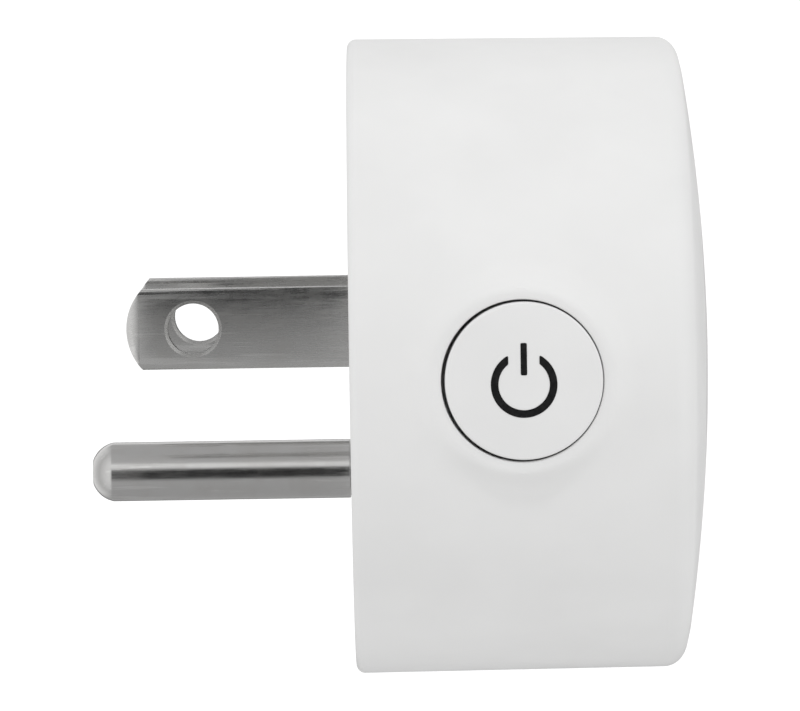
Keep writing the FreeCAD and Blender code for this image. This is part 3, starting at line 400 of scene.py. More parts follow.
class Finish(Enum):
    """Every finish on the object, each built once when it is first asked for."""

    SHELL = MouldedPlastic("shell_white", (0.69, 0.69, 0.687), 0.44)
    COVER = MouldedPlastic("cover_white", (0.69, 0.69, 0.687), 0.5, 0.28, 0.008)
    OUTLET = MouldedPlastic("outlet_white", (0.695, 0.695, 0.692), 0.36)
    BUTTON = MouldedPlastic("button_white", (0.685, 0.685, 0.683), 0.42)
    MARK = PrintedInk("mark_ink", (0.006, 0.006, 0.0065))
    PRONG = PlatedProng("prong_nickel", (0.64, 0.637, 0.63), 0.24)
    SATIN = PlatedProng("prong_satin", (0.63, 0.627, 0.62), 0.25, 1.35, 0.0003)
    PIN = PlatedProng("pin_nickel", (0.64, 0.637, 0.63), 0.17)
    CONTACT = StampedMetal("contact_brass", (0.78, 0.57, 0.27))
    STRAP = StampedMetal("strap_copper", (0.80, 0.46, 0.30))
    SCREW = StampedMetal("screw_zinc", (0.60, 0.61, 0.62), 0.3, (0.85, 0.82, 0.72))
    SHIELD = StampedMetal("shield_tin", (0.72, 0.72, 0.70), 0.28)
    IRON = StampedMetal("soft_iron", (0.46, 0.46, 0.47), 0.4)
    SILVER = StampedMetal("silver_contact", (0.85, 0.84, 0.80), 0.25)
    SHUNT = StampedMetal("shunt_alloy", (0.55, 0.47, 0.40), 0.35)
    WINDING = StampedMetal("winding_copper", (0.72, 0.32, 0.12), 0.25)
    CARRIER = MouldedPlastic("carrier_black", (0.035, 0.035, 0.037), 0.45, 0.2, 0.006, 0.2)
    PRONG_BLOCK = MouldedPlastic("prong_block_grey", (0.12, 0.12, 0.125), 0.5, 0.2, 0.006, 0.12)
    BOARD = CircuitBoard("board_green", (0.02, 0.12, 0.05))
    RADIO_BOARD = CircuitBoard("radio_board_blue", (0.01, 0.04, 0.12))
    RELAY_CASE = MouldedPlastic("relay_blue", (0.03, 0.10, 0.36), 0.3, 0.2, 0.003, 0.1)
    BLACK_PART = MouldedPlastic("black_part", (0.02, 0.02, 0.021), 0.5, 0.12, 0.006, 0.2)
    BOBBIN = MouldedPlastic("bobbin_cream", (0.72, 0.68, 0.55), 0.45, tint=0.06)
    SLEEVE = MouldedPlastic("capacitor_sleeve", (0.02, 0.025, 0.06), 0.22, 0.6, 0.003, 0.15)
    FILM = MouldedPlastic("film_yellow", (0.74, 0.50, 0.06), 0.3, 0.3, 0.004, 0.06)
    FERRITE = MouldedPlastic("ferrite_grey", (0.05, 0.05, 0.052), 0.6, 0.1, 0.010, 0.2)
    VARISTOR = MouldedPlastic("varistor_blue", (0.05, 0.18, 0.42), 0.28, 0.5, 0.02, 0.1)
    FUSE = MouldedPlastic("fuse_green", (0.12, 0.26, 0.16), 0.5, 0.3, 0.015, 0.12)
    LENS = MouldedPlastic("led_lens", (0.80, 0.80, 0.62), 0.15, 0.5, 0.001, 0.03, 0.3)
    PLUNGER = MouldedPlastic("plunger_cream", (0.66, 0.60, 0.48), 0.45, tint=0.06)

    @property
    def material(self) -> Material:
        """The finish's material."""
        made = bpy.data.materials.get(f"finish_{self.value.name}")
        return made or self.value.build()


def verts_in(items: Iterable[object]) -> list[BMVert]:
    """The vertices among some parts of a mesh."""
    return [item for item in items if isinstance(item, BMVert)]


def shift(bm: BMesh, by: Sequence[float], verts: Sequence[BMVert] = ()) -> None:
    """Move some vertices, or the whole mesh."""
    bmesh.ops.translate(bm, vec=by, verts=verts or bm.verts)


def rotate(bm: BMesh, degrees: float, axis: str, verts: Sequence[BMVert] = ()) -> None:
    """Turn some vertices, or the whole mesh, about an axis through the origin."""
    bmesh.ops.rotate(bm, verts=verts or bm.verts, cent=(0, 0, 0),
                     matrix=Matrix.Rotation(math.radians(degrees), 3, axis))


def draw_out(bm: BMesh, faces: Sequence[BMFace], by: Sequence[float]) -> list[BMVert]:
    """Extrude faces and move the new ones.

    Args:
        bm: Their mesh.
        faces: The faces.
        by: How far and which way they go.

    Returns:
        The new vertices.
    """
    made = verts_in(bmesh.ops.extrude_face_region(bm, geom=list(faces))["geom"])
    shift(bm, by, made)
    return made


def shade(mesh: bpy.types.Mesh, sharp: float = 35.0) -> None:
    """Shade a mesh smooth but for edges sharper than an angle in degrees."""
    mesh.shade_smooth()
    mesh.set_sharp_from_angle(angle=math.radians(sharp))


def place_mesh(bm: BMesh, name: str, material: Material) -> Piece:
    """Turn a mesh in millimetres into an object in metres, in its place.

    Args:
        bm: The mesh, which is freed.
        name: Name of the object.
        material: Its material.

    Returns:
        The object.
    """
    bmesh.ops.scale(bm, vec=(MM, MM, MM), verts=bm.verts)
    mesh = bpy.data.meshes.new(name)
    bm.to_mesh(mesh)
    bm.free()
    piece = bpy.data.objects.new(name, mesh)
    bpy.context.scene.collection.objects.link(piece)
    mesh.materials.append(material)
    return piece


def finish_piece(bm: BMesh, name: str, finish: Finish, sharp: float = 35.0) -> Piece:
    """Turn a closed mesh in millimetres into a shaded piece.

    Args:
        bm: The mesh, which is freed.
        name: Name of the piece.
        finish: Its finish.
        sharp: Angle in degrees past which an edge stays sharp.

    Returns:
        The piece.
    """
    bmesh.ops.recalc_face_normals(bm, faces=bm.faces)
    piece = place_mesh(bm, name, finish.material)
    shade(piece.data, sharp)
    return piece


def round_corners(bm: BMesh, corners: Sequence[Corner], steps: int = 6) -> None:
    """Draw a closed profile in the XY plane and round its corners.

    Args:
        bm: Mesh to draw in.
        corners: (x, y, radius) of each corner, where 0 leaves the corner sharp.
        steps: Edges in each round.
    """
    face = bm.faces.new([bm.verts.new((x, y, 0)) for x, y, _ in corners])
    places = [vert.co.copy() for vert in face.verts]
    for index, (_, _, radius) in enumerate(corners):
        if radius <= 0:
            continue
        here = places[index]
        before, after = places[index - 1] - here, places[(index + 1) % len(places)] - here
        half_turn = (math.pi - before.angle(after)) / 2
        vert = min(bm.verts, key=lambda item: (item.co - here).length)
        bmesh.ops.bevel(bm, geom=[vert], offset=radius * math.tan(half_turn),
                        offset_type="OFFSET", segments=steps, profile=0.5, affect="VERTICES",
                        material=-1)
    bmesh.ops.delete(bm, geom=list(bm.faces), context="FACES_ONLY")


def turn_profile(bm: BMesh, axis: Sequence[float], steps: int) -> None:
    """Spin everything drawn so far into a full turn and close it.

    Args:
        bm: Mesh that holds only the profile.
        axis: Direction of the axis, which passes through the origin.
        steps: Faces round the turn.
    """
    bmesh.ops.spin(bm, geom=bm.verts[:] + bm.edges[:], cent=(0, 0, 0), axis=axis,
                   angle=2 * math.pi, steps=steps, use_merge=True)
    bmesh.ops.remove_doubles(bm, verts=bm.verts, dist=MERGE)
    flat = [face for face in bm.faces if face.calc_area() < SLIVER]
    bmesh.ops.delete(bm, geom=flat, context="FACES")


def turned_solid(corners: Sequence[Corner], axis: str = "X", steps: int = 192,
                 round_steps: int = 6) -> BMesh:
    """Turn a closed profile with rounded corners about an axis.

    Args:
        corners: (x, y, radius) of each corner; the first and last lie on the axis.
        axis: X or Y.
        steps: Faces round the turn.
        round_steps: Edges in each round.

    Returns:
        The solid.
    """
    bm = bmesh.new()
    round_corners(bm, corners, round_steps)
    up = "YX".index(axis)
    inside = [edge for edge in bm.edges if all(abs(vert.co[up]) < ON_AXIS for vert in edge.verts)]
    bmesh.ops.delete(bm, geom=inside, context="EDGES")
    turn_profile(bm, (up, 1 - up, 0), steps)
    return bm


def lathe(points: Sequence[Point], at: Sequence[float], steps: int, axis: str = "X") -> BMesh:
    """Turn an open profile about an axis.

    Args:
        points: Depth and radius of each corner; the first and last lie on the axis.
        at: Where the axis's zero goes.
        steps: Faces round the turn.
        axis: X or Y.

    Returns:
        The solid.
    """
    bm = bmesh.new()
    corners = [bm.verts.new((along, radius, 0)) for along, radius in points]
    for pair in zip(corners, corners[1:]):
        bm.edges.new(pair)
    turn_profile(bm, (1, 0, 0), steps)
    if axis == "Y":
        rotate(bm, 90, "Z")
    shift(bm, at)
    return bm


def cutter(bm: BMesh) -> Piece:
    """Make a mesh in millimetres into a tool for carve."""
    return finish_piece(bm, "cutter", Finish.SHELL)


def rod(radius: float, length: float, start: Sequence[float], axis: str = "X",
        flare: float = 0.0, flare_deep: float = 0.0, steps: int = 64) -> Piece:
    """A round tool along one axis, which may widen at both ends.

    Args:
        radius: Its radius.
        length: Its length.
        start: Middle of its first end.
        axis: X or Y.
        flare: How much wider its ends are.
        flare_deep: How long each widening is.
        steps: Faces round it.

    Returns:
        The tool.
    """
    points = [(0, 0), (0, radius + flare), (flare_deep, radius), (length - flare_deep, radius),
              (length, radius + flare), (length, 0)]
    return cutter(lathe(list(dict.fromkeys(points)), start, steps, axis))


def block(low: Sequence[float], high: Sequence[float], mouth: float = 0.0) -> Piece:
    """A box tool between two corners, whose +X end may widen at 45 degrees.

    Args:
        low: Its lowest corner.
        high: Its highest corner.
        mouth: How far that end is drawn out, and how much wider it gets on each side.

    Returns:
        The tool.
    """
    bm = bmesh.new()
    bmesh.ops.create_cube(bm, size=1)
    size = Vector(high) - Vector(low)
    bmesh.ops.scale(bm, vec=size, verts=bm.verts)
    shift(bm, (Vector(high) + Vector(low)) / 2)
    if mouth:
        face = max(bm.faces, key=lambda item: item.calc_center_median().x)
        middle = face.calc_center_median()
        verts = draw_out(bm, [face], (mouth, 0, 0))
        bmesh.ops.delete(bm, geom=[face], context="FACES")
        grow = (1, 1 + 2 * mouth / size.y, 1 + 2 * mouth / size.z)
        bmesh.ops.scale(bm, vec=grow, space=Matrix.Translation(-middle), verts=verts)
    return cutter(bm)


def prism(points: Sequence[Point], low: float, high: float) -> Piece:
    """A tool with an outline in the XY plane, from one height to another."""
    bm = bmesh.new()
    draw_out(bm, [bm.faces.new([bm.verts.new((x, y, low)) for x, y in points])], (0, 0, high - low))
    return cutter(bm)


def arc(centre: Point, radius: float, first: float, last: float, steps: int) -> list[Point]:
    """Points of an arc.

    Args:
        centre: Its middle.
        radius: Its radius.
        first: Angle of its first point, in degrees from the first axis.
        last: Angle of its last point.
        steps: Edges along it.

    Returns:
        The points, both ends included.
    """
    angles = [math.radians(first + (last - first) * step / steps) for step in range(steps + 1)]
    return [(centre[0] + radius * math.cos(angle), centre[1] + radius * math.sin(angle))
            for angle in angles]


def carve(piece: Piece, tools: Sequence[Piece], operation: str = "DIFFERENCE") -> None:
    """Cut tools out of a piece, or add them to it, and remove them.

    Args:
        piece: The piece to work on.
        tools: Closed meshes.
        operation: DIFFERENCE or UNION.
    """
    for tool in tools:
        modifier = piece.modifiers.new("cut", "BOOLEAN")
        modifier.operation = operation
        modifier.solver = "EXACT"
        modifier.object = tool
    graph = bpy.context.evaluated_depsgraph_get()
    carved = bpy.data.meshes.new_from_object(piece.evaluated_get(graph))
    piece.modifiers.clear()
    spent = [piece.data] + [tool.data for tool in tools]
    piece.data = carved
    carved.name = piece.name
    shade(carved)
    for tool in tools:
        bpy.data.objects.remove(tool)
    for mesh in spent:
        bpy.data.meshes.remove(mesh)


def soften(piece: Piece, width: float, angle: float = 40.0) -> None:
    """Round a piece's sharp edges with a live modifier.

    Args:
        piece: The piece.
        width: Width of the round, in millimetres.
        angle: Least angle of an edge that is rounded, in degrees.
    """
    bevel = piece.modifiers.new("edge_round", "BEVEL")
    bevel.width = width * MM
    bevel.segments = 2
    bevel.limit_method = "ANGLE"
    bevel.angle_limit = math.radians(angle)
    bevel.harden_normals = True
    bevel.material = -1


def set_piece(piece: Piece, body: str, slot: str, *nodes: str) -> Piece:
    """Hand a piece to the frame.

    Args:
        piece: The piece.
        body: CAD body that it rides on.
        slot: Name of a material slot in the record; not used.
        nodes: CAD nodes that it stands for.

    Returns:
        The piece.
    """
    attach(piece, body)
    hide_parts(*nodes)
    LOG.info("%s rides on %s for %s", piece.name, body, ", ".join(nodes))
    return piece


def dome_depth(crown: float, dome: float, radius: float) -> float:
    """Depth of a dome's surface at one radius from its axis."""
    return crown - dome + math.sqrt(dome**2 - radius**2)


@dataclass
class Housing:
    """The moulded cup: a drafted round wall, a shallow dome, and the pad round the button."""

    radius: float = 25.3
    draft: float = math.radians(0.37)
    rim_depth: float = 25.95
    dome: float = 141.0
    inside: float = 23.3
    front_inside: float = 24.05
    opening: float = 16.0
    back_round: float = 0.7
    rim_round: float = 1.65
    pad_radius: float = 6.9
    pad_rise: float = 0.2
    pad_blend: float = 2.5
    pad_powers: Point = (3, 1.5)
    hole: float = 6.12
    button_slack: float = 0.11
    hole_round: float = 0.12
    near_half: float = 26.0
    near_steps: int = 84
    far_steps: int = 170
    near_row: float = 0.34
    far_row: float = 1.0
    dome_rows: int = 14
    hole_steps: int = 192
    hole_reach: float = 0.32
    loop_out: float = 0.5
    mouth_steps: int = 4
    cap: Vector = field(default_factory=lambda: node_middle("button_cap"))

    @property
    def button(self) -> Vector:
        """Middle of the button's hole, from which the cap leans by its slack."""
        return self.cap - Vector((self.button_slack, 0, 0))

    @property
    def rim_radius(self) -> float:
        """Radius where the wall meets the dome."""
        return self.radius - self.rim_depth * math.tan(self.draft)

    @property
    def crown(self) -> float:
        """Depth of the dome's highest point."""
        return self.rim_depth + self.dome - math.sqrt(self.dome**2 - self.rim_radius**2)

    def wall_y(self, x: float, z: float) -> float:
        """Place of the near wall, before the pad, above one (x, z)."""
        return -math.sqrt((self.radius - x * math.tan(self.draft)) ** 2 - z**2)

    def pad_y(self, x: float, z: float) -> float:
        """Place of the near wall with its pad.

        Args:
            x: Depth of the point.
            z: Its height.

        Returns:
            Its Y.
        """
        reach = math.hypot(x - self.button.x, z)
        share = min(1.0, max(0.0, (reach - self.pad_radius) / self.pad_blend))
        fall = (1 - (1 - share) ** self.pad_powers[0]) ** self.pad_powers[1]
        face = -self.radius - self.pad_rise
        return face + (self.wall_y(x, z) - face) * fall

    def from_button(self, place: Vector) -> float:
        """Distance of a point from the axis of the button's hole."""
        return math.hypot(place.x - self.button.x, place.z)

    def profile(self, bm: BMesh) -> None:
        """Draw the half section on the button's side, finely divided along the walls.

        Args:
            bm: Mesh to draw in.
        """
        brim = dome_depth(self.crown, self.dome, self.opening)
        round_corners(bm, [
            (0, -self.inside, 0.2),
            (0, -self.radius, self.back_round),
            (self.rim_depth, -self.rim_radius, self.rim_round),
            (brim, -self.opening, 0.12),
            (self.front_inside, -self.opening, 0),
            (self.front_inside, -self.inside, 0.4),
        ], 8)
        for edge in list(bm.edges):
            first, last = (vert.co for vert in edge.verts)
            long = edge.calc_length()
            if long < 2:
                continue
            on_dome = min(first.x, last.x) > self.rim_depth - 0.5 and long > 5
            row = self.near_row if first.y < -self.inside - 1 else self.far_row
            cuts = self.dome_rows if on_dome else round(long / row)
            made = bmesh.ops.subdivide_edges(bm, edges=[edge], cuts=cuts)["geom_inner"]
            for vert in verts_in(made) if on_dome else ():
                vert.co.x = dome_depth(self.crown, self.dome, -vert.co.y)

    def spin_wall(self, bm: BMesh) -> None:
        """Spin the profile: finely past the button and more coarsely round the rest.

        Args:
            bm: Mesh that holds the profile.
        """
        rotate(bm, -self.near_half, "X")
        geom = bm.verts[:] + bm.edges[:]
        for degrees, steps in ((2 * self.near_half, self.near_steps),
                               (360 - 2 * self.near_half, self.far_steps)):
            geom = bmesh.ops.spin(bm, geom=geom, cent=(0, 0, 0), axis=(1, 0, 0),
                                  angle=math.radians(degrees), steps=steps)["geom_last"]
        bmesh.ops.remove_doubles(bm, verts=bm.verts, dist=2 * MERGE)

    def raise_pad(self, bm: BMesh) -> None:
        """Lift the outside of the near wall onto the pad.

        Args:
            bm: The wall.
        """
        for vert in bm.verts:
            on_outside = vert.co.y < 0 and math.hypot(vert.co.y, vert.co.z) > self.inside + 1
            if on_outside and self.from_button(vert.co) < self.pad_radius + self.pad_blend:
                vert.co.y = self.pad_y(vert.co.x, vert.co.z)

    def open_loop(self, bm: BMesh, faces: list[BMFace],
                  surface: Callable[[float, float], float]) -> list[BMEdge]:
        """Delete faces and pull the edge that they leave onto a circle.

        Args:
            bm: The wall.
            faces: Faces over the hole.
            surface: Y for a point (x, z) of it.

        Returns:
            The edges of the opening.
        """
        rim = [edge for edge in {edge for face in faces for edge in face.edges}
               if sum(face in faces for face in edge.link_faces) == 1]
        bmesh.ops.delete(bm, geom=faces, context="FACES")
        rim = [edge for edge in rim if edge.is_valid]
        for vert in {vert for edge in rim for vert in edge.verts}:
            away = Vector((vert.co.x - self.button.x, 0, vert.co.z)).normalized()
            spot = away * (self.hole + self.loop_out)
            x, z = self.button.x + spot.x, spot.z
            vert.co = Vector((x, surface(x, z), z))
        return rim

    def cut_hole(self, bm: BMesh) -> None:
        """Open the button's hole through both skins, with a rounded mouth.

        Args:
            bm: The wall.
        """
        skins: tuple[list[BMFace], list[BMFace]] = ([], [])
        for face in bm.faces:
            middle = face.calc_center_median()
            if (middle.y < -self.inside / 2
                    and self.from_button(middle) < self.hole + self.hole_reach):
                outside = math.hypot(middle.y, middle.z) > (self.inside + self.radius) / 2
                skins[outside].append(face)
        outer_rim = self.open_loop(bm, skins[1], self.pad_y)
        inner_rim = self.open_loop(bm, skins[0],
                                   lambda x, z: -math.sqrt(self.inside**2 - z**2))
        radius, level = self.hole + self.hole_round, -self.radius - self.pad_rise
        where = Matrix.Translation((self.button.x, level, 0)) @ Matrix.Rotation(math.pi / 2, 4, "X")
        ring = bmesh.ops.create_circle(bm, segments=self.hole_steps, radius=radius, matrix=where)
        edges = list({edge for vert in ring["verts"] for edge in vert.link_edges})
        bmesh.ops.bridge_loops(bm, edges=outer_rim + edges)
        turns = [math.pi / 2 * step / self.mouth_steps for step in range(1, self.mouth_steps + 1)]
        rings = [(radius - self.hole_round * math.sin(angle),
                  level + self.hole_round * (1 - math.cos(angle))) for angle in turns]
        for new_radius, new_level in rings + [(rings[-1][0], -self.inside - 0.3)]:
            edges = self.next_ring(bm, edges, new_radius / radius, new_level - level)
            radius, level = new_radius, new_level
        bmesh.ops.bridge_loops(bm, edges=edges + inner_rim)

    def next_ring(self, bm: BMesh, edges: list[BMEdge], share: float,
                  deeper: float) -> list[BMEdge]:
        """Extrude a ring about the button's axis.

        Args:
            bm: The wall.
            edges: The ring's edges.
            share: New radius as a share of the old one.
            deeper: How far the new ring lies behind the old one.

        Returns:
            The new ring's edges.
        """
        made = bmesh.ops.extrude_edge_only(bm, edges=edges)["geom"]
        verts = verts_in(made)
        centre = Matrix.Translation((-self.button.x, 0, 0))
        bmesh.ops.scale(bm, vec=(share, 1, share), space=centre, verts=verts)
        shift(bm, (0, deeper, 0), verts)
        chosen = set(verts)
        return [item for item in made if isinstance(item, BMEdge) and set(item.verts) <= chosen]

    def build(self) -> Piece:
        """Make the housing."""
        bm = bmesh.new()
        self.profile(bm)
        self.spin_wall(bm)
        self.raise_pad(bm)
        self.cut_hole(bm)
        shell = finish_piece(bm, "front_shell", Finish.SHELL, 32)
        return set_piece(shell, "housing", "white_shell", "front_housing")


@dataclass
class RearCover:
    """The flat back, with its prong openings and four screw recesses, and the screws in them."""

    thick: float = 2.4
    edge_round: float = 0.35
    clearance: float = 0.1
    screw_circle: float = 20.3
    screw_angle: float = math.radians(40)
    tube_radius: float = 2.8
    tube_end: float = 8.4
    sink_radius: float = 2.2
    sunk: float = 4.4
    bore_radius: float = 1.3
    mouth: float = 0.2
    soft: float = 0.12
    head_radius: float = 2.0
    head_tall: float = 1.5
    head_crown: float = 0.6
    head_rounds: Corner = (0.5, 0.4, 0.08)
    shank_radius: float = 1.1
    shank_end: float = 17.6
    thread_pitch: float = 0.75
    thread_deep: float = 0.14
    drive_half: float = 0.95
    drive_wide: float = 0.42
    drive_deep: float = 0.8
    drive_turns: tuple[float, ...] = (12.0, 71.0, -33.0, 40.0)

    @property
    def radius(self) -> float:
        """Radius of the cover's disc."""
        return node_box("rear_cover")[1].y

    def screw_places(self) -> list[Point]:
        """Side and height of each screw."""
        side = self.screw_circle * math.cos(self.screw_angle)
        height = self.screw_circle * math.sin(self.screw_angle)
        return [(y * side, z * height) for y in (-1, 1) for z in (-1, 1)]

    def at_screws(self, points: Sequence[Point]) -> list[Piece]:
        """Make a turned tool on the axis of each screw."""
        return [cutter(lathe(points, (0, *place), 72)) for place in self.screw_places()]

    def build_cover(self) -> Piece:
        """Make the cover, with its tubes, openings and screw recesses."""
        disc = turned_solid([(0, 0, 0), (0, self.radius, self.edge_round),
                             (self.thick, self.radius, 0), (self.thick, 0, 0)])
        cover = finish_piece(disc, "back_cover", Finish.COVER)
        carve(cover, self.at_screws([(1, 0), (1, self.tube_radius),
                                     (self.tube_end, self.tube_radius), (self.tube_end, 0)]),
              "UNION")
        cuts = []
        for node in ("line_blade", "neutral_blade"):
            low, high = node_box(node)
            middle = (low + high) / 2
            half = (high.y - low.y) / 2 + self.clearance
            tall = Prongs.blade_wide / 2 + self.clearance
            cuts.append(block((-1, middle.y - half, middle.z - tall),
                              (self.thick + 1, middle.y + half, middle.z + tall)))
        pin = node_middle("ground_pin")
        cuts.append(rod(Prongs.pin_radius + self.clearance, self.thick + 2, (-1, pin.y, pin.z)))
        end = self.tube_end + 1
        recess = [(-1, 0), (-1, self.sink_radius + 1 + self.mouth), (self.mouth, self.sink_radius),
                  (self.sunk, self.sink_radius), (self.sunk, self.bore_radius),
                  (end, self.bore_radius), (end, 0)]
        carve(cover, cuts + self.at_screws(recess))
        soften(cover, self.soft)
        return set_piece(cover, "housing", "white_cover", "rear_cover")

    def build_screws(self) -> Piece:
        """Make the four screws, with their threads and cross recesses."""
        head_back = self.sunk - self.head_tall
        root = self.shank_radius - self.thread_deep
        shank = self.shank_end - self.shank_radius
        turns = round((shank - self.sunk) / self.thread_pitch) - 1
        crests = []
        for turn in range(turns):
            along = self.sunk + self.thread_pitch * (turn + 0.5)
            crests += [(along, root, 0), (along + self.thread_pitch / 2, self.shank_radius, 0)]
        screw = finish_piece(turned_solid([
            (head_back, 0, 0),
            (head_back, self.head_radius - self.head_crown, self.head_rounds[0]),
            (head_back + self.head_crown, self.head_radius, self.head_rounds[1]),
            (self.sunk, self.head_radius, self.head_rounds[2]),
            (self.sunk, root, 0),
            *crests,
            (shank, root, 0),
            (self.shank_end, 0, 0),
        ], steps=40, round_steps=4), "back_screws", Finish.SCREW)
        deep, narrow = head_back + self.drive_deep, self.drive_wide / 2
        for long, wide in ((self.drive_half, narrow), (narrow, self.drive_half)):
            carve(screw, [block((head_back - 1, -long, -wide), (deep, long, wide))])
        bm = bmesh.new()
        bm.from_mesh(screw.data)
        one = bm.verts[:] + bm.edges[:] + bm.faces[:]
        copies = [one] + [bmesh.ops.duplicate(bm, geom=one)["geom"] for _ in range(3)]
        for geom, (y, z), degrees in zip(copies, self.screw_places(), self.drive_turns):
            verts = verts_in(geom)
            rotate(bm, degrees, "X", verts)
            shift(bm, (0, y * MM, z * MM), verts)
        bm.to_mesh(screw.data)
        bm.free()
        shade(screw.data, 30)
        return set_piece(screw, "housing", "screw_steel", "cover_screws")


@dataclass
class OutletFace:
    """The domed outlet face, with its slots and ground hole."""

    back: float = 22.45
    lip_front: float = 24.05
    lip_radius: float = 17.0
    radius: float = 15.9
    edge_round: float = 0.35
    slot_wide: float = 2.2
    line_tall: float = 7.0
    neutral_tall: float = 8.7
    ground_radius: float = 2.7
    mouth: float = 0.35
    mouth_back: float = 0.1
    mouth_over: float = 0.5
    ground_flare: float = 1.0
    rings: int = 18
    soft: float = 0.1

    def build(self, housing: Housing) -> Piece:
        """Make the outlet face.

        Args:
            housing: The housing whose dome it carries on.

        Returns:
            The piece.
        """
        edge = dome_depth(housing.crown, housing.dome, self.radius)
        radii = [self.radius * ring / self.rings for ring in range(self.rings - 1, -1, -1)]
        dome = [(dome_depth(housing.crown, housing.dome, radius), radius, 0) for radius in radii]
        face = finish_piece(turned_solid([
            (self.back, 0, 0), (self.back, self.lip_radius, 0.2),
            (self.lip_front, self.lip_radius, 0.1), (self.lip_front, self.radius, 0),
            (edge, self.radius, self.edge_round), *dome]), "outlet_face", Finish.OUTLET, 20)
        cuts = []
        for node, tall in (("line_contact", self.line_tall),
                           ("neutral_contact", self.neutral_tall)):
            at = node_middle(node)
            front = dome_depth(housing.crown, housing.dome, abs(at.y))
            half = self.slot_wide / 2
            cuts.append(block((self.back - 1, at.y - half, at.z - tall / 2),
                              (front - self.mouth - self.mouth_back, at.y + half, at.z + tall / 2),
                              self.mouth + self.mouth_over))
        pin = node_middle("ground_pin")
        front = dome_depth(housing.crown, housing.dome, abs(pin.z))
        cuts.append(rod(self.ground_radius, front - self.back + 2, (self.back - 1, 0, pin.z),
                        steps=96))
        flare = self.ground_flare
        cuts.append(rod(self.ground_radius, 2 * flare, (front - self.mouth, 0, pin.z), flare=flare,
                        flare_deep=flare, steps=96))
        carve(face, cuts)
        soften(face, self.soft)
        return set_piece(face, "housing", "white_shell", "outlet_insert")


@dataclass
class PushButton:
    """The round button and the mark printed on it."""

    face_round: float = 0.2
    skin: float = 1.3
    skirt: float = 1.2
    flange_thick: float = 0.8
    stem_radius: float = 1.5
    radius: float = 5.95
    flange_radius: float = 6.85
    flange_front: float = -21.9
    mark_radius: float = 2.5
    stroke: float = 0.57
    opening: float = 2.34
    drop: float = 0.26
    bar_wide: float = 0.48
    bar_long: float = 2.43
    bar_top: float = 3.13
    corner: float = 0.1
    film: float = 0.03
    ring_steps: int = 96
    inner_steps: int = 80

    def build_cap(self) -> Piece:
        """Make the cap."""
        low, high = node_box("button_cap")
        inner = self.radius - self.skirt
        back = self.flange_front + self.flange_thick
        bm = turned_solid([
            (0, low.y, 0),
            (self.radius, low.y, self.face_round),
            (self.radius, self.flange_front, 0),
            (self.flange_radius, self.flange_front, 0.1),
            (self.flange_radius, back, 0.1),
            (inner, back, 0.1),
            (inner, low.y + self.skin, 0.3),
            (self.stem_radius, low.y + self.skin, 0.3),
            (self.stem_radius, high.y, 0.2),
            (0, high.y, 0),
        ], "Y", 160, 5)
        shift(bm, ((low.x + high.x) / 2, 0, 0))
        cap = finish_piece(bm, "push_button", Finish.BUTTON, 32)
        return set_piece(cap, "button", "button_white", "button_cap")

    def build_mark(self) -> Piece:
        """Make the mark: an open ring and a bar, as a thin film on the cap."""
        half = self.opening / 2
        inner = self.mark_radius - self.stroke
        outer_turn = math.degrees(math.asin(half / self.mark_radius))
        inner_turn = math.degrees(math.asin(half / inner))
        ring = arc((0, 0), self.mark_radius, 90 + outer_turn, 450 - outer_turn, self.ring_steps)
        ring += arc((0, 0), inner, 450 - inner_turn, 90 + inner_turn, self.inner_steps)
        corners = {0, self.ring_steps, self.ring_steps + 1, len(ring) - 1}
        wide, top = self.bar_wide / 2, self.bar_top
        bar = [(-wide, top - self.bar_long), (wide, top - self.bar_long), (wide, top), (-wide, top)]
        bm = bmesh.new()
        holder = bpy.data.meshes.new("outline")
        for shape, rounded in ((ring, corners), (bar, {0, 1, 2, 3})):
            part = bmesh.new()
            round_corners(part, [(x, y, self.corner if index in rounded else 0)
                                 for index, (x, y) in enumerate(shape)], 4)
            bmesh.ops.triangle_fill(part, use_beauty=True, edges=part.edges[:])
            part.to_mesh(holder)
            part.free()
            bm.from_mesh(holder)
        bpy.data.meshes.remove(holder)
        draw_out(bm, bm.faces[:], (0, 0, self.film))
        low, high = node_box("button_symbol")
        rotate(bm, 90, "X")
        shift(bm, ((low.x + high.x) / 2, high.y, -self.drop))
        mark = finish_piece(bm, "power_mark", Finish.MARK)
        return set_piece(mark, "button", "mark_black", "button_symbol")


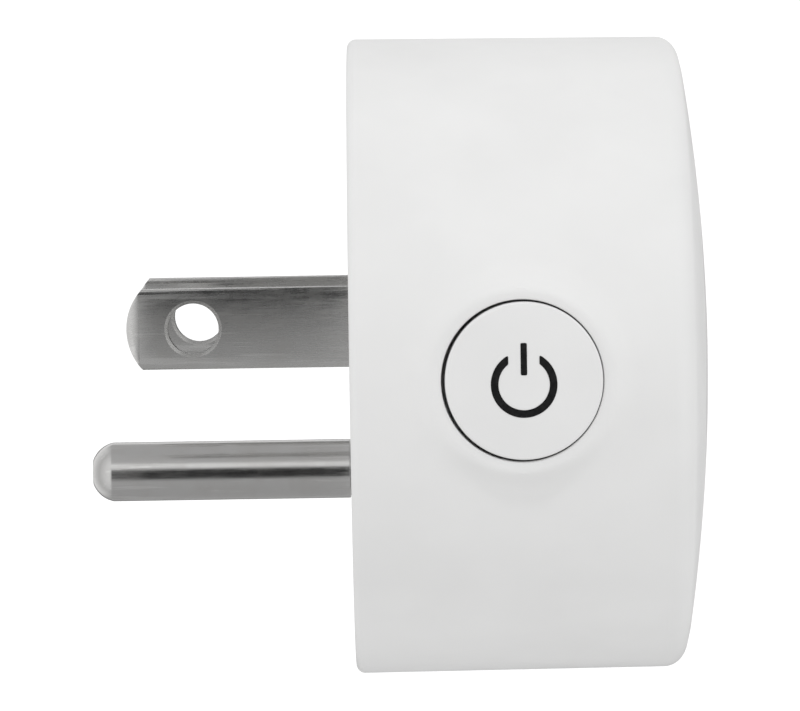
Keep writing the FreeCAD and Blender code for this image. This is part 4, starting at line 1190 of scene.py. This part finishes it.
@dataclass
class Prongs:
    """Two flat blades and a round ground pin."""

    blade_wide: float = 6.35
    tip_round: float = 4.6
    tip_steps: int = 40
    bevel_long: float = 1.03
    bevel_deep: float = 0.36
    edge_round: float = 0.26
    rolled_wide: float = 1.3
    rolled_deep: float = 0.11
    rolled_power: int = 3
    hole_radius: float = 2.0
    hole_bevel: float = 0.25
    hole_from_tip: float = 5.26
    hole_over: float = 0.4
    wedge_out: float = 2.0
    soft: float = 0.05
    rolled_rows: int = 6
    satin_above: float = 0.985
    shoulder_wide: float = 8.4
    shoulder: tuple[float, float] = (2.4, 3.9)
    tail_wide: float = 2.0
    pin_radius: float = 2.35
    pin_tip_long: float = 1.6
    pin_tip_flat: float = 1.0
    pin_tip_round: float = 2.2
    pin_tip_steps: int = 14
    neck_bevel_long: float = 0.06
    neck_bevel: float = 0.04
    neck_radius: float = 2.15
    neck_from: float = -0.25
    flange_radius: float = 3.4
    flange: tuple[float, float] = (2.4, 3.6)
    tail_radius: float = 1.6

    def build_blade(self, node: str, name: str) -> Piece:
        """Make one blade.

        Args:
            node: CAD node that it stands for.
            name: Name of the piece.

        Returns:
            The piece.
        """
        low, high = node_box(node)
        middle = (low + high) / 2
        half = self.blade_wide / 2
        turn = math.degrees(math.asin(half / self.tip_round))
        tip = arc((low.x + self.tip_round, 0), self.tip_round, 180 - turn, 180 + turn,
                  self.tip_steps)
        start, end = self.shoulder
        wide, thin = self.shoulder_wide / 2, self.tail_wide / 2
        side = [(start, -half), (start, -wide), (end, -wide), (end, -thin), (high.x, -thin)]
        outline = tip + side + [(x, -z) for x, z in reversed(side)]
        bm = bmesh.new()
        face = bm.faces.new([bm.verts.new((x, low.y, middle.z + z)) for x, z in outline])
        thick = high.y - low.y
        draw_out(bm, [face], (0, thick, 0))
        bmesh.ops.recalc_face_normals(bm, faces=bm.faces)
        long = [edge for edge in bm.edges
                if abs(edge.verts[0].co.x - edge.verts[1].co.x) > half
                and all(vert.co.x < start + 0.01 for vert in edge.verts)]
        bmesh.ops.bevel(bm, geom=long, offset=self.edge_round, offset_type="OFFSET", segments=8,
                        profile=0.5, affect="EDGES", material=-1)
        self.roll_edges(bm, middle)
        blade = finish_piece(bm, name, Finish.PRONG, 24)
        out, slope = self.wedge_out, self.bevel_deep / self.bevel_long
        cuts = []
        for sign, level in ((-1, low.y), (1, high.y)):
            wedge = [(low.x - out, level - sign * (self.bevel_deep + out * slope)),
                     (low.x + self.bevel_long + out, level + sign * out * slope),
                     (low.x - out, level + sign * out * slope)]
            cuts.append(prism(wedge, middle.z - wide, middle.z + wide))
        start_at = (low.x + self.hole_from_tip, low.y - self.hole_over, middle.z)
        flare = self.hole_bevel + self.hole_over
        cuts.append(rod(self.hole_radius, thick + 2 * self.hole_over, start_at, "Y", flare, flare,
                        96))
        carve(blade, cuts)
        self.brush_flats(blade)
        soften(blade, self.soft, 25)
        return set_piece(blade, "housing", "nickel_prong", node)

    def roll_edges(self, bm: BMesh, middle: Vector) -> None:
        """Let the flats fall away a little towards the blade's long edges.

        Args:
            bm: The blade, in millimetres.
            middle: Middle of the blade.
        """
        rows, half = self.rolled_rows, self.blade_wide / 2
        for sign in (-1, 1):
            for row in range(rows):
                height = middle.z + sign * (half - self.rolled_wide * (row + 0.4) / rows)
                bmesh.ops.bisect_plane(bm, geom=bm.verts[:] + bm.edges[:] + bm.faces[:],
                                       plane_co=(0, 0, height), plane_no=(0, 0, 1))
        for vert in bm.verts:
            past = abs(vert.co.z - middle.z) - (half - self.rolled_wide)
            if past > 0 and vert.co.x < self.shoulder[0] - 0.01:
                share = min(1.0, past / self.rolled_wide)
                side = 1 if vert.co.y > middle.y else -1
                vert.co.y -= side * self.rolled_deep * share**self.rolled_power

    def brush_flats(self, blade: Piece) -> None:
        """Give the broad flats the satin finish of drawn strip.

        Args:
            blade: The blade.
        """
        blade.data.materials.append(Finish.SATIN.material)
        for polygon in blade.data.polygons:
            if abs(polygon.normal.y) > self.satin_above:
                polygon.material_index = 1

    def build_pin(self) -> Piece:
        """Make the ground pin."""
        low, high = node_box("ground_pin")
        tip_end = low.x + self.pin_tip_long
        rise = self.pin_radius - self.pin_tip_flat
        chord = math.hypot(self.pin_tip_long, rise)
        bow = math.sqrt(self.pin_tip_round**2 - chord**2 / 4)
        centre = ((low.x + tip_end) / 2 + rise / chord * bow,
                  (self.pin_tip_flat + self.pin_radius) / 2 - self.pin_tip_long / chord * bow)
        first = math.degrees(math.atan2(self.pin_tip_flat - centre[1], low.x - centre[0]))
        last = math.degrees(math.atan2(self.pin_radius - centre[1], tip_end - centre[0]))
        tip = arc(centre, self.pin_tip_round, first, last, self.pin_tip_steps)
        bm = lathe([
            (low.x, 0), *tip, (self.neck_from - self.neck_bevel_long, self.pin_radius),
            (self.neck_from, self.pin_radius - self.neck_bevel), (self.neck_from, self.neck_radius),
            (self.flange[0], self.neck_radius), (self.flange[0], self.flange_radius),
            (self.flange[1], self.flange_radius), (self.flange[1], self.tail_radius),
            (high.x, self.tail_radius), (high.x, 0)], (0, 0, (low.z + high.z) / 2), 128)
        pin = finish_piece(bm, "round_ground_pin", Finish.PIN, 30)
        return set_piece(pin, "housing", "nickel_prong", "ground_pin")


@dataclass
class InnerParts:
    """Finishes of the CAD nodes that keep their own shape."""

    finishes: dict[Finish, str] = field(default_factory=lambda: {
        Finish.PRONG_BLOCK: "prong_carrier",
        Finish.CARRIER: "contact_carrier",
        Finish.CONTACT: "line_contact neutral_contact ground_contact",
        Finish.STRAP: "ground_strap relay_contact_arm relay_fixed_contact",
        Finish.BOARD: "main_board",
        Finish.RADIO_BOARD: "radio_board",
        Finish.SHIELD: "radio_shield",
        Finish.BLACK_PART: "relay_base rectifier regulator_chip metering_chip switch_body",
        Finish.RELAY_CASE: "relay_case",
        Finish.BOBBIN: "relay_bobbin",
        Finish.WINDING: "relay_coil",
        Finish.IRON: "relay_yoke relay_armature",
        Finish.SILVER: "relay_moving_contact",
        Finish.SLEEVE: "bulk_capacitor filter_capacitor",
        Finish.FILM: "film_capacitor",
        Finish.FERRITE: "choke",
        Finish.VARISTOR: "varistor",
        Finish.FUSE: "fuse_resistor",
        Finish.SHUNT: "shunt_resistor",
        Finish.PLUNGER: "switch_plunger",
        Finish.LENS: "status_led",
    })

    def dress(self) -> None:
        """Put each finish on its nodes."""
        for finish, nodes in self.finishes.items():
            for node in nodes.split():
                for slot in bpy.data.objects[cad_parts[node].name].material_slots:
                    slot.material = finish.material
            LOG.info("%s: %s", finish.value.name, nodes)


@dataclass
class Studio:
    """Pale floor, soft light all round, reflected light for the metal, and the camera."""

    target: Vector = field(default_factory=lambda: Vector((3.84, 0, 0)))
    distance: float = 408.0
    elevation: float = math.radians(4.6)
    roll: float = math.radians(0.9)
    lens: float = 229.5
    sensor: float = 36.0
    clip: Point = (0.01, 500.0)
    floor_drop: float = 350.0
    floor_half: float = 100000.0
    tent_radius: float = 250.0
    tent_bands: tuple[Point, ...] = ((0.0, 0.42), (0.21, 0.44), (0.33, 0.02), (0.55, 0.01),
                                     (0.66, 0.95), (0.735, 0.95), (0.80, 0.50), (1.0, 0.48))
    tent_sides: Point = (0.35, 0.6)
    tent_levels: Point = (0.6, 1.06)
    light_reach: float = 0.9
    light_below: float = 1.02
    light_above: float = 1.08
    beam_from: Vector = field(default_factory=lambda: Vector((15, -200, 240)))
    beam_at: Vector = field(default_factory=lambda: Vector((15, -18, 12)))
    beam_power: float = 1.9
    beam_angle: float = math.radians(9.5)
    beam_soft: float = 30.0

    def stage_mesh(self, bm: BMesh, name: str, material: Material) -> Piece:
        """Add a piece of the studio.

        Args:
            bm: Its mesh in millimetres, which is freed.
            name: Its name.
            material: Its material.

        Returns:
            The piece.
        """
        piece = place_mesh(bm, name, material)
        return piece

    def build_floor(self) -> None:
        """Lay the floor, which lights nothing itself."""
        bm = bmesh.new()
        bmesh.ops.create_grid(bm, x_segments=1, y_segments=1, size=self.floor_half)
        shift(bm, (0, 0, -self.floor_drop))
        self.stage_mesh(bm, "floor", StudioFloor().build()).visible_diffuse = False

    def build_world(self) -> None:
        """Fill the room with soft light that is a little stronger from above."""
        world = bpy.data.worlds.new("studio")
        world.use_nodes = True
        nodes, links = world.node_tree.nodes, world.node_tree.links
        back = nodes["Background"]
        back.inputs["Color"].default_value = WHITE
        parts = nodes.new("ShaderNodeSeparateXYZ")
        spread = nodes.new("ShaderNodeMapRange")
        spread.interpolation_type = "SMOOTHSTEP"
        for name, value in (("From Min", -self.light_reach), ("From Max", self.light_reach),
                            ("To Min", self.light_below), ("To Max", self.light_above)):
            spread.inputs[name].default_value = value
        for source, target in (
                (nodes.new("ShaderNodeTexCoord").outputs["Generated"], parts.inputs["Vector"]),
                (parts.outputs["Z"], spread.inputs["Value"]),
                (spread.outputs["Result"], back.inputs["Strength"])):
            links.new(source, target)
        bpy.context.scene.world = world

    def build_tent(self) -> None:
        """Hang a tent that only reflections see: dark at eye level, with bright panels round it."""
        sheet = Sheet("tent")
        sheet.tree.nodes.remove(sheet.shader)
        axes, radius = sheet.axes(), self.tent_radius * MM
        bands = sheet.add("ShaderNodeValToRGB", {"Fac": sheet.ramp(axes["Z"], -radius, radius)})
        bands.color_ramp.interpolation = "EASE"
        stops = bands.color_ramp.elements
        stops.remove(stops[1])
        for index, (at, level) in enumerate(self.tent_bands):
            stop = stops.new(at) if index else stops[0]
            stop.position = at
            stop.color = (level, level, level, 1)
        side = sheet.maths("ABSOLUTE", axes["X"], 0.0)
        depth = sheet.maths("ABSOLUTE", axes["Y"], 0.0)
        start, end = (share * radius for share in self.tent_sides)
        mixed = sheet.blend(sheet.ramp(side, start, end), bands.outputs["Color"],
                            sheet.ramp(depth, 0.0, radius, *self.tent_levels))
        glow = sheet.add("ShaderNodeEmission", {"Color": mixed})
        sheet.feed(sheet.output, {"Surface": glow.outputs["Emission"]})
        bm = bmesh.new()
        bmesh.ops.create_icosphere(bm, subdivisions=4, radius=self.tent_radius)
        tent = self.stage_mesh(bm, "tent", sheet.material)
        tent.visible_camera = tent.visible_diffuse = False
        tent.visible_shadow = tent.visible_transmission = False

    def build_beam(self) -> None:
        """Aim a soft beam at the side with the button, so that it fades towards its edges."""
        data = bpy.data.lights.new("beam", "SPOT")
        data.energy = self.beam_power
        data.spot_size = self.beam_angle
        data.spot_blend = 1.0
        data.shadow_soft_size = self.beam_soft * MM
        beam = bpy.data.objects.new("beam", data)
        beam.location = self.beam_from * MM
        beam.rotation_euler = (self.beam_at - self.beam_from).to_track_quat("-Z", "Y").to_euler()
        beam.visible_glossy = False
        bpy.context.scene.collection.objects.link(beam)

    def build_camera(self) -> None:
        """Set the camera in front of the button, a little above it."""
        data = bpy.data.cameras.new("camera")
        data.lens = self.lens
        data.sensor_width = self.sensor
        data.clip_start, data.clip_end = self.clip
        camera = bpy.data.objects.new("camera", data)
        back = Vector((0, -math.cos(self.elevation), math.sin(self.elevation)))
        camera.location = (self.target + back * self.distance) * MM
        look = (-back).to_track_quat("-Z", "Y").to_matrix().to_4x4()
        camera.rotation_euler = (look @ Matrix.Rotation(-self.roll, 4, "Z")).to_euler()
        bpy.context.scene.collection.objects.link(camera)
        bpy.context.scene.camera = camera

    def build(self) -> None:
        """Set up the whole studio."""
        self.build_floor()
        self.build_world()
        self.build_tent()
        self.build_beam()
        self.build_camera()
        settings = bpy.context.scene.view_settings
        settings.view_transform = "Standard"
        settings.look = "None"
        LOG.info("the studio is set")


def main() -> None:
    """Build every piece and the studio."""
    logging.basicConfig(level=logging.INFO, format="%(message)s")
    Studio().build()
    housing = Housing()
    housing.build()
    cover = RearCover()
    cover.build_cover()
    cover.build_screws()
    OutletFace().build(housing)
    button = PushButton()
    button.build_cap()
    button.build_mark()
    prongs = Prongs()
    prongs.build_blade("neutral_blade", "neutral_prong")
    prongs.build_blade("line_blade", "line_prong")
    prongs.build_pin()
    InnerParts().dress()


if __name__ == "__main__":
    main()
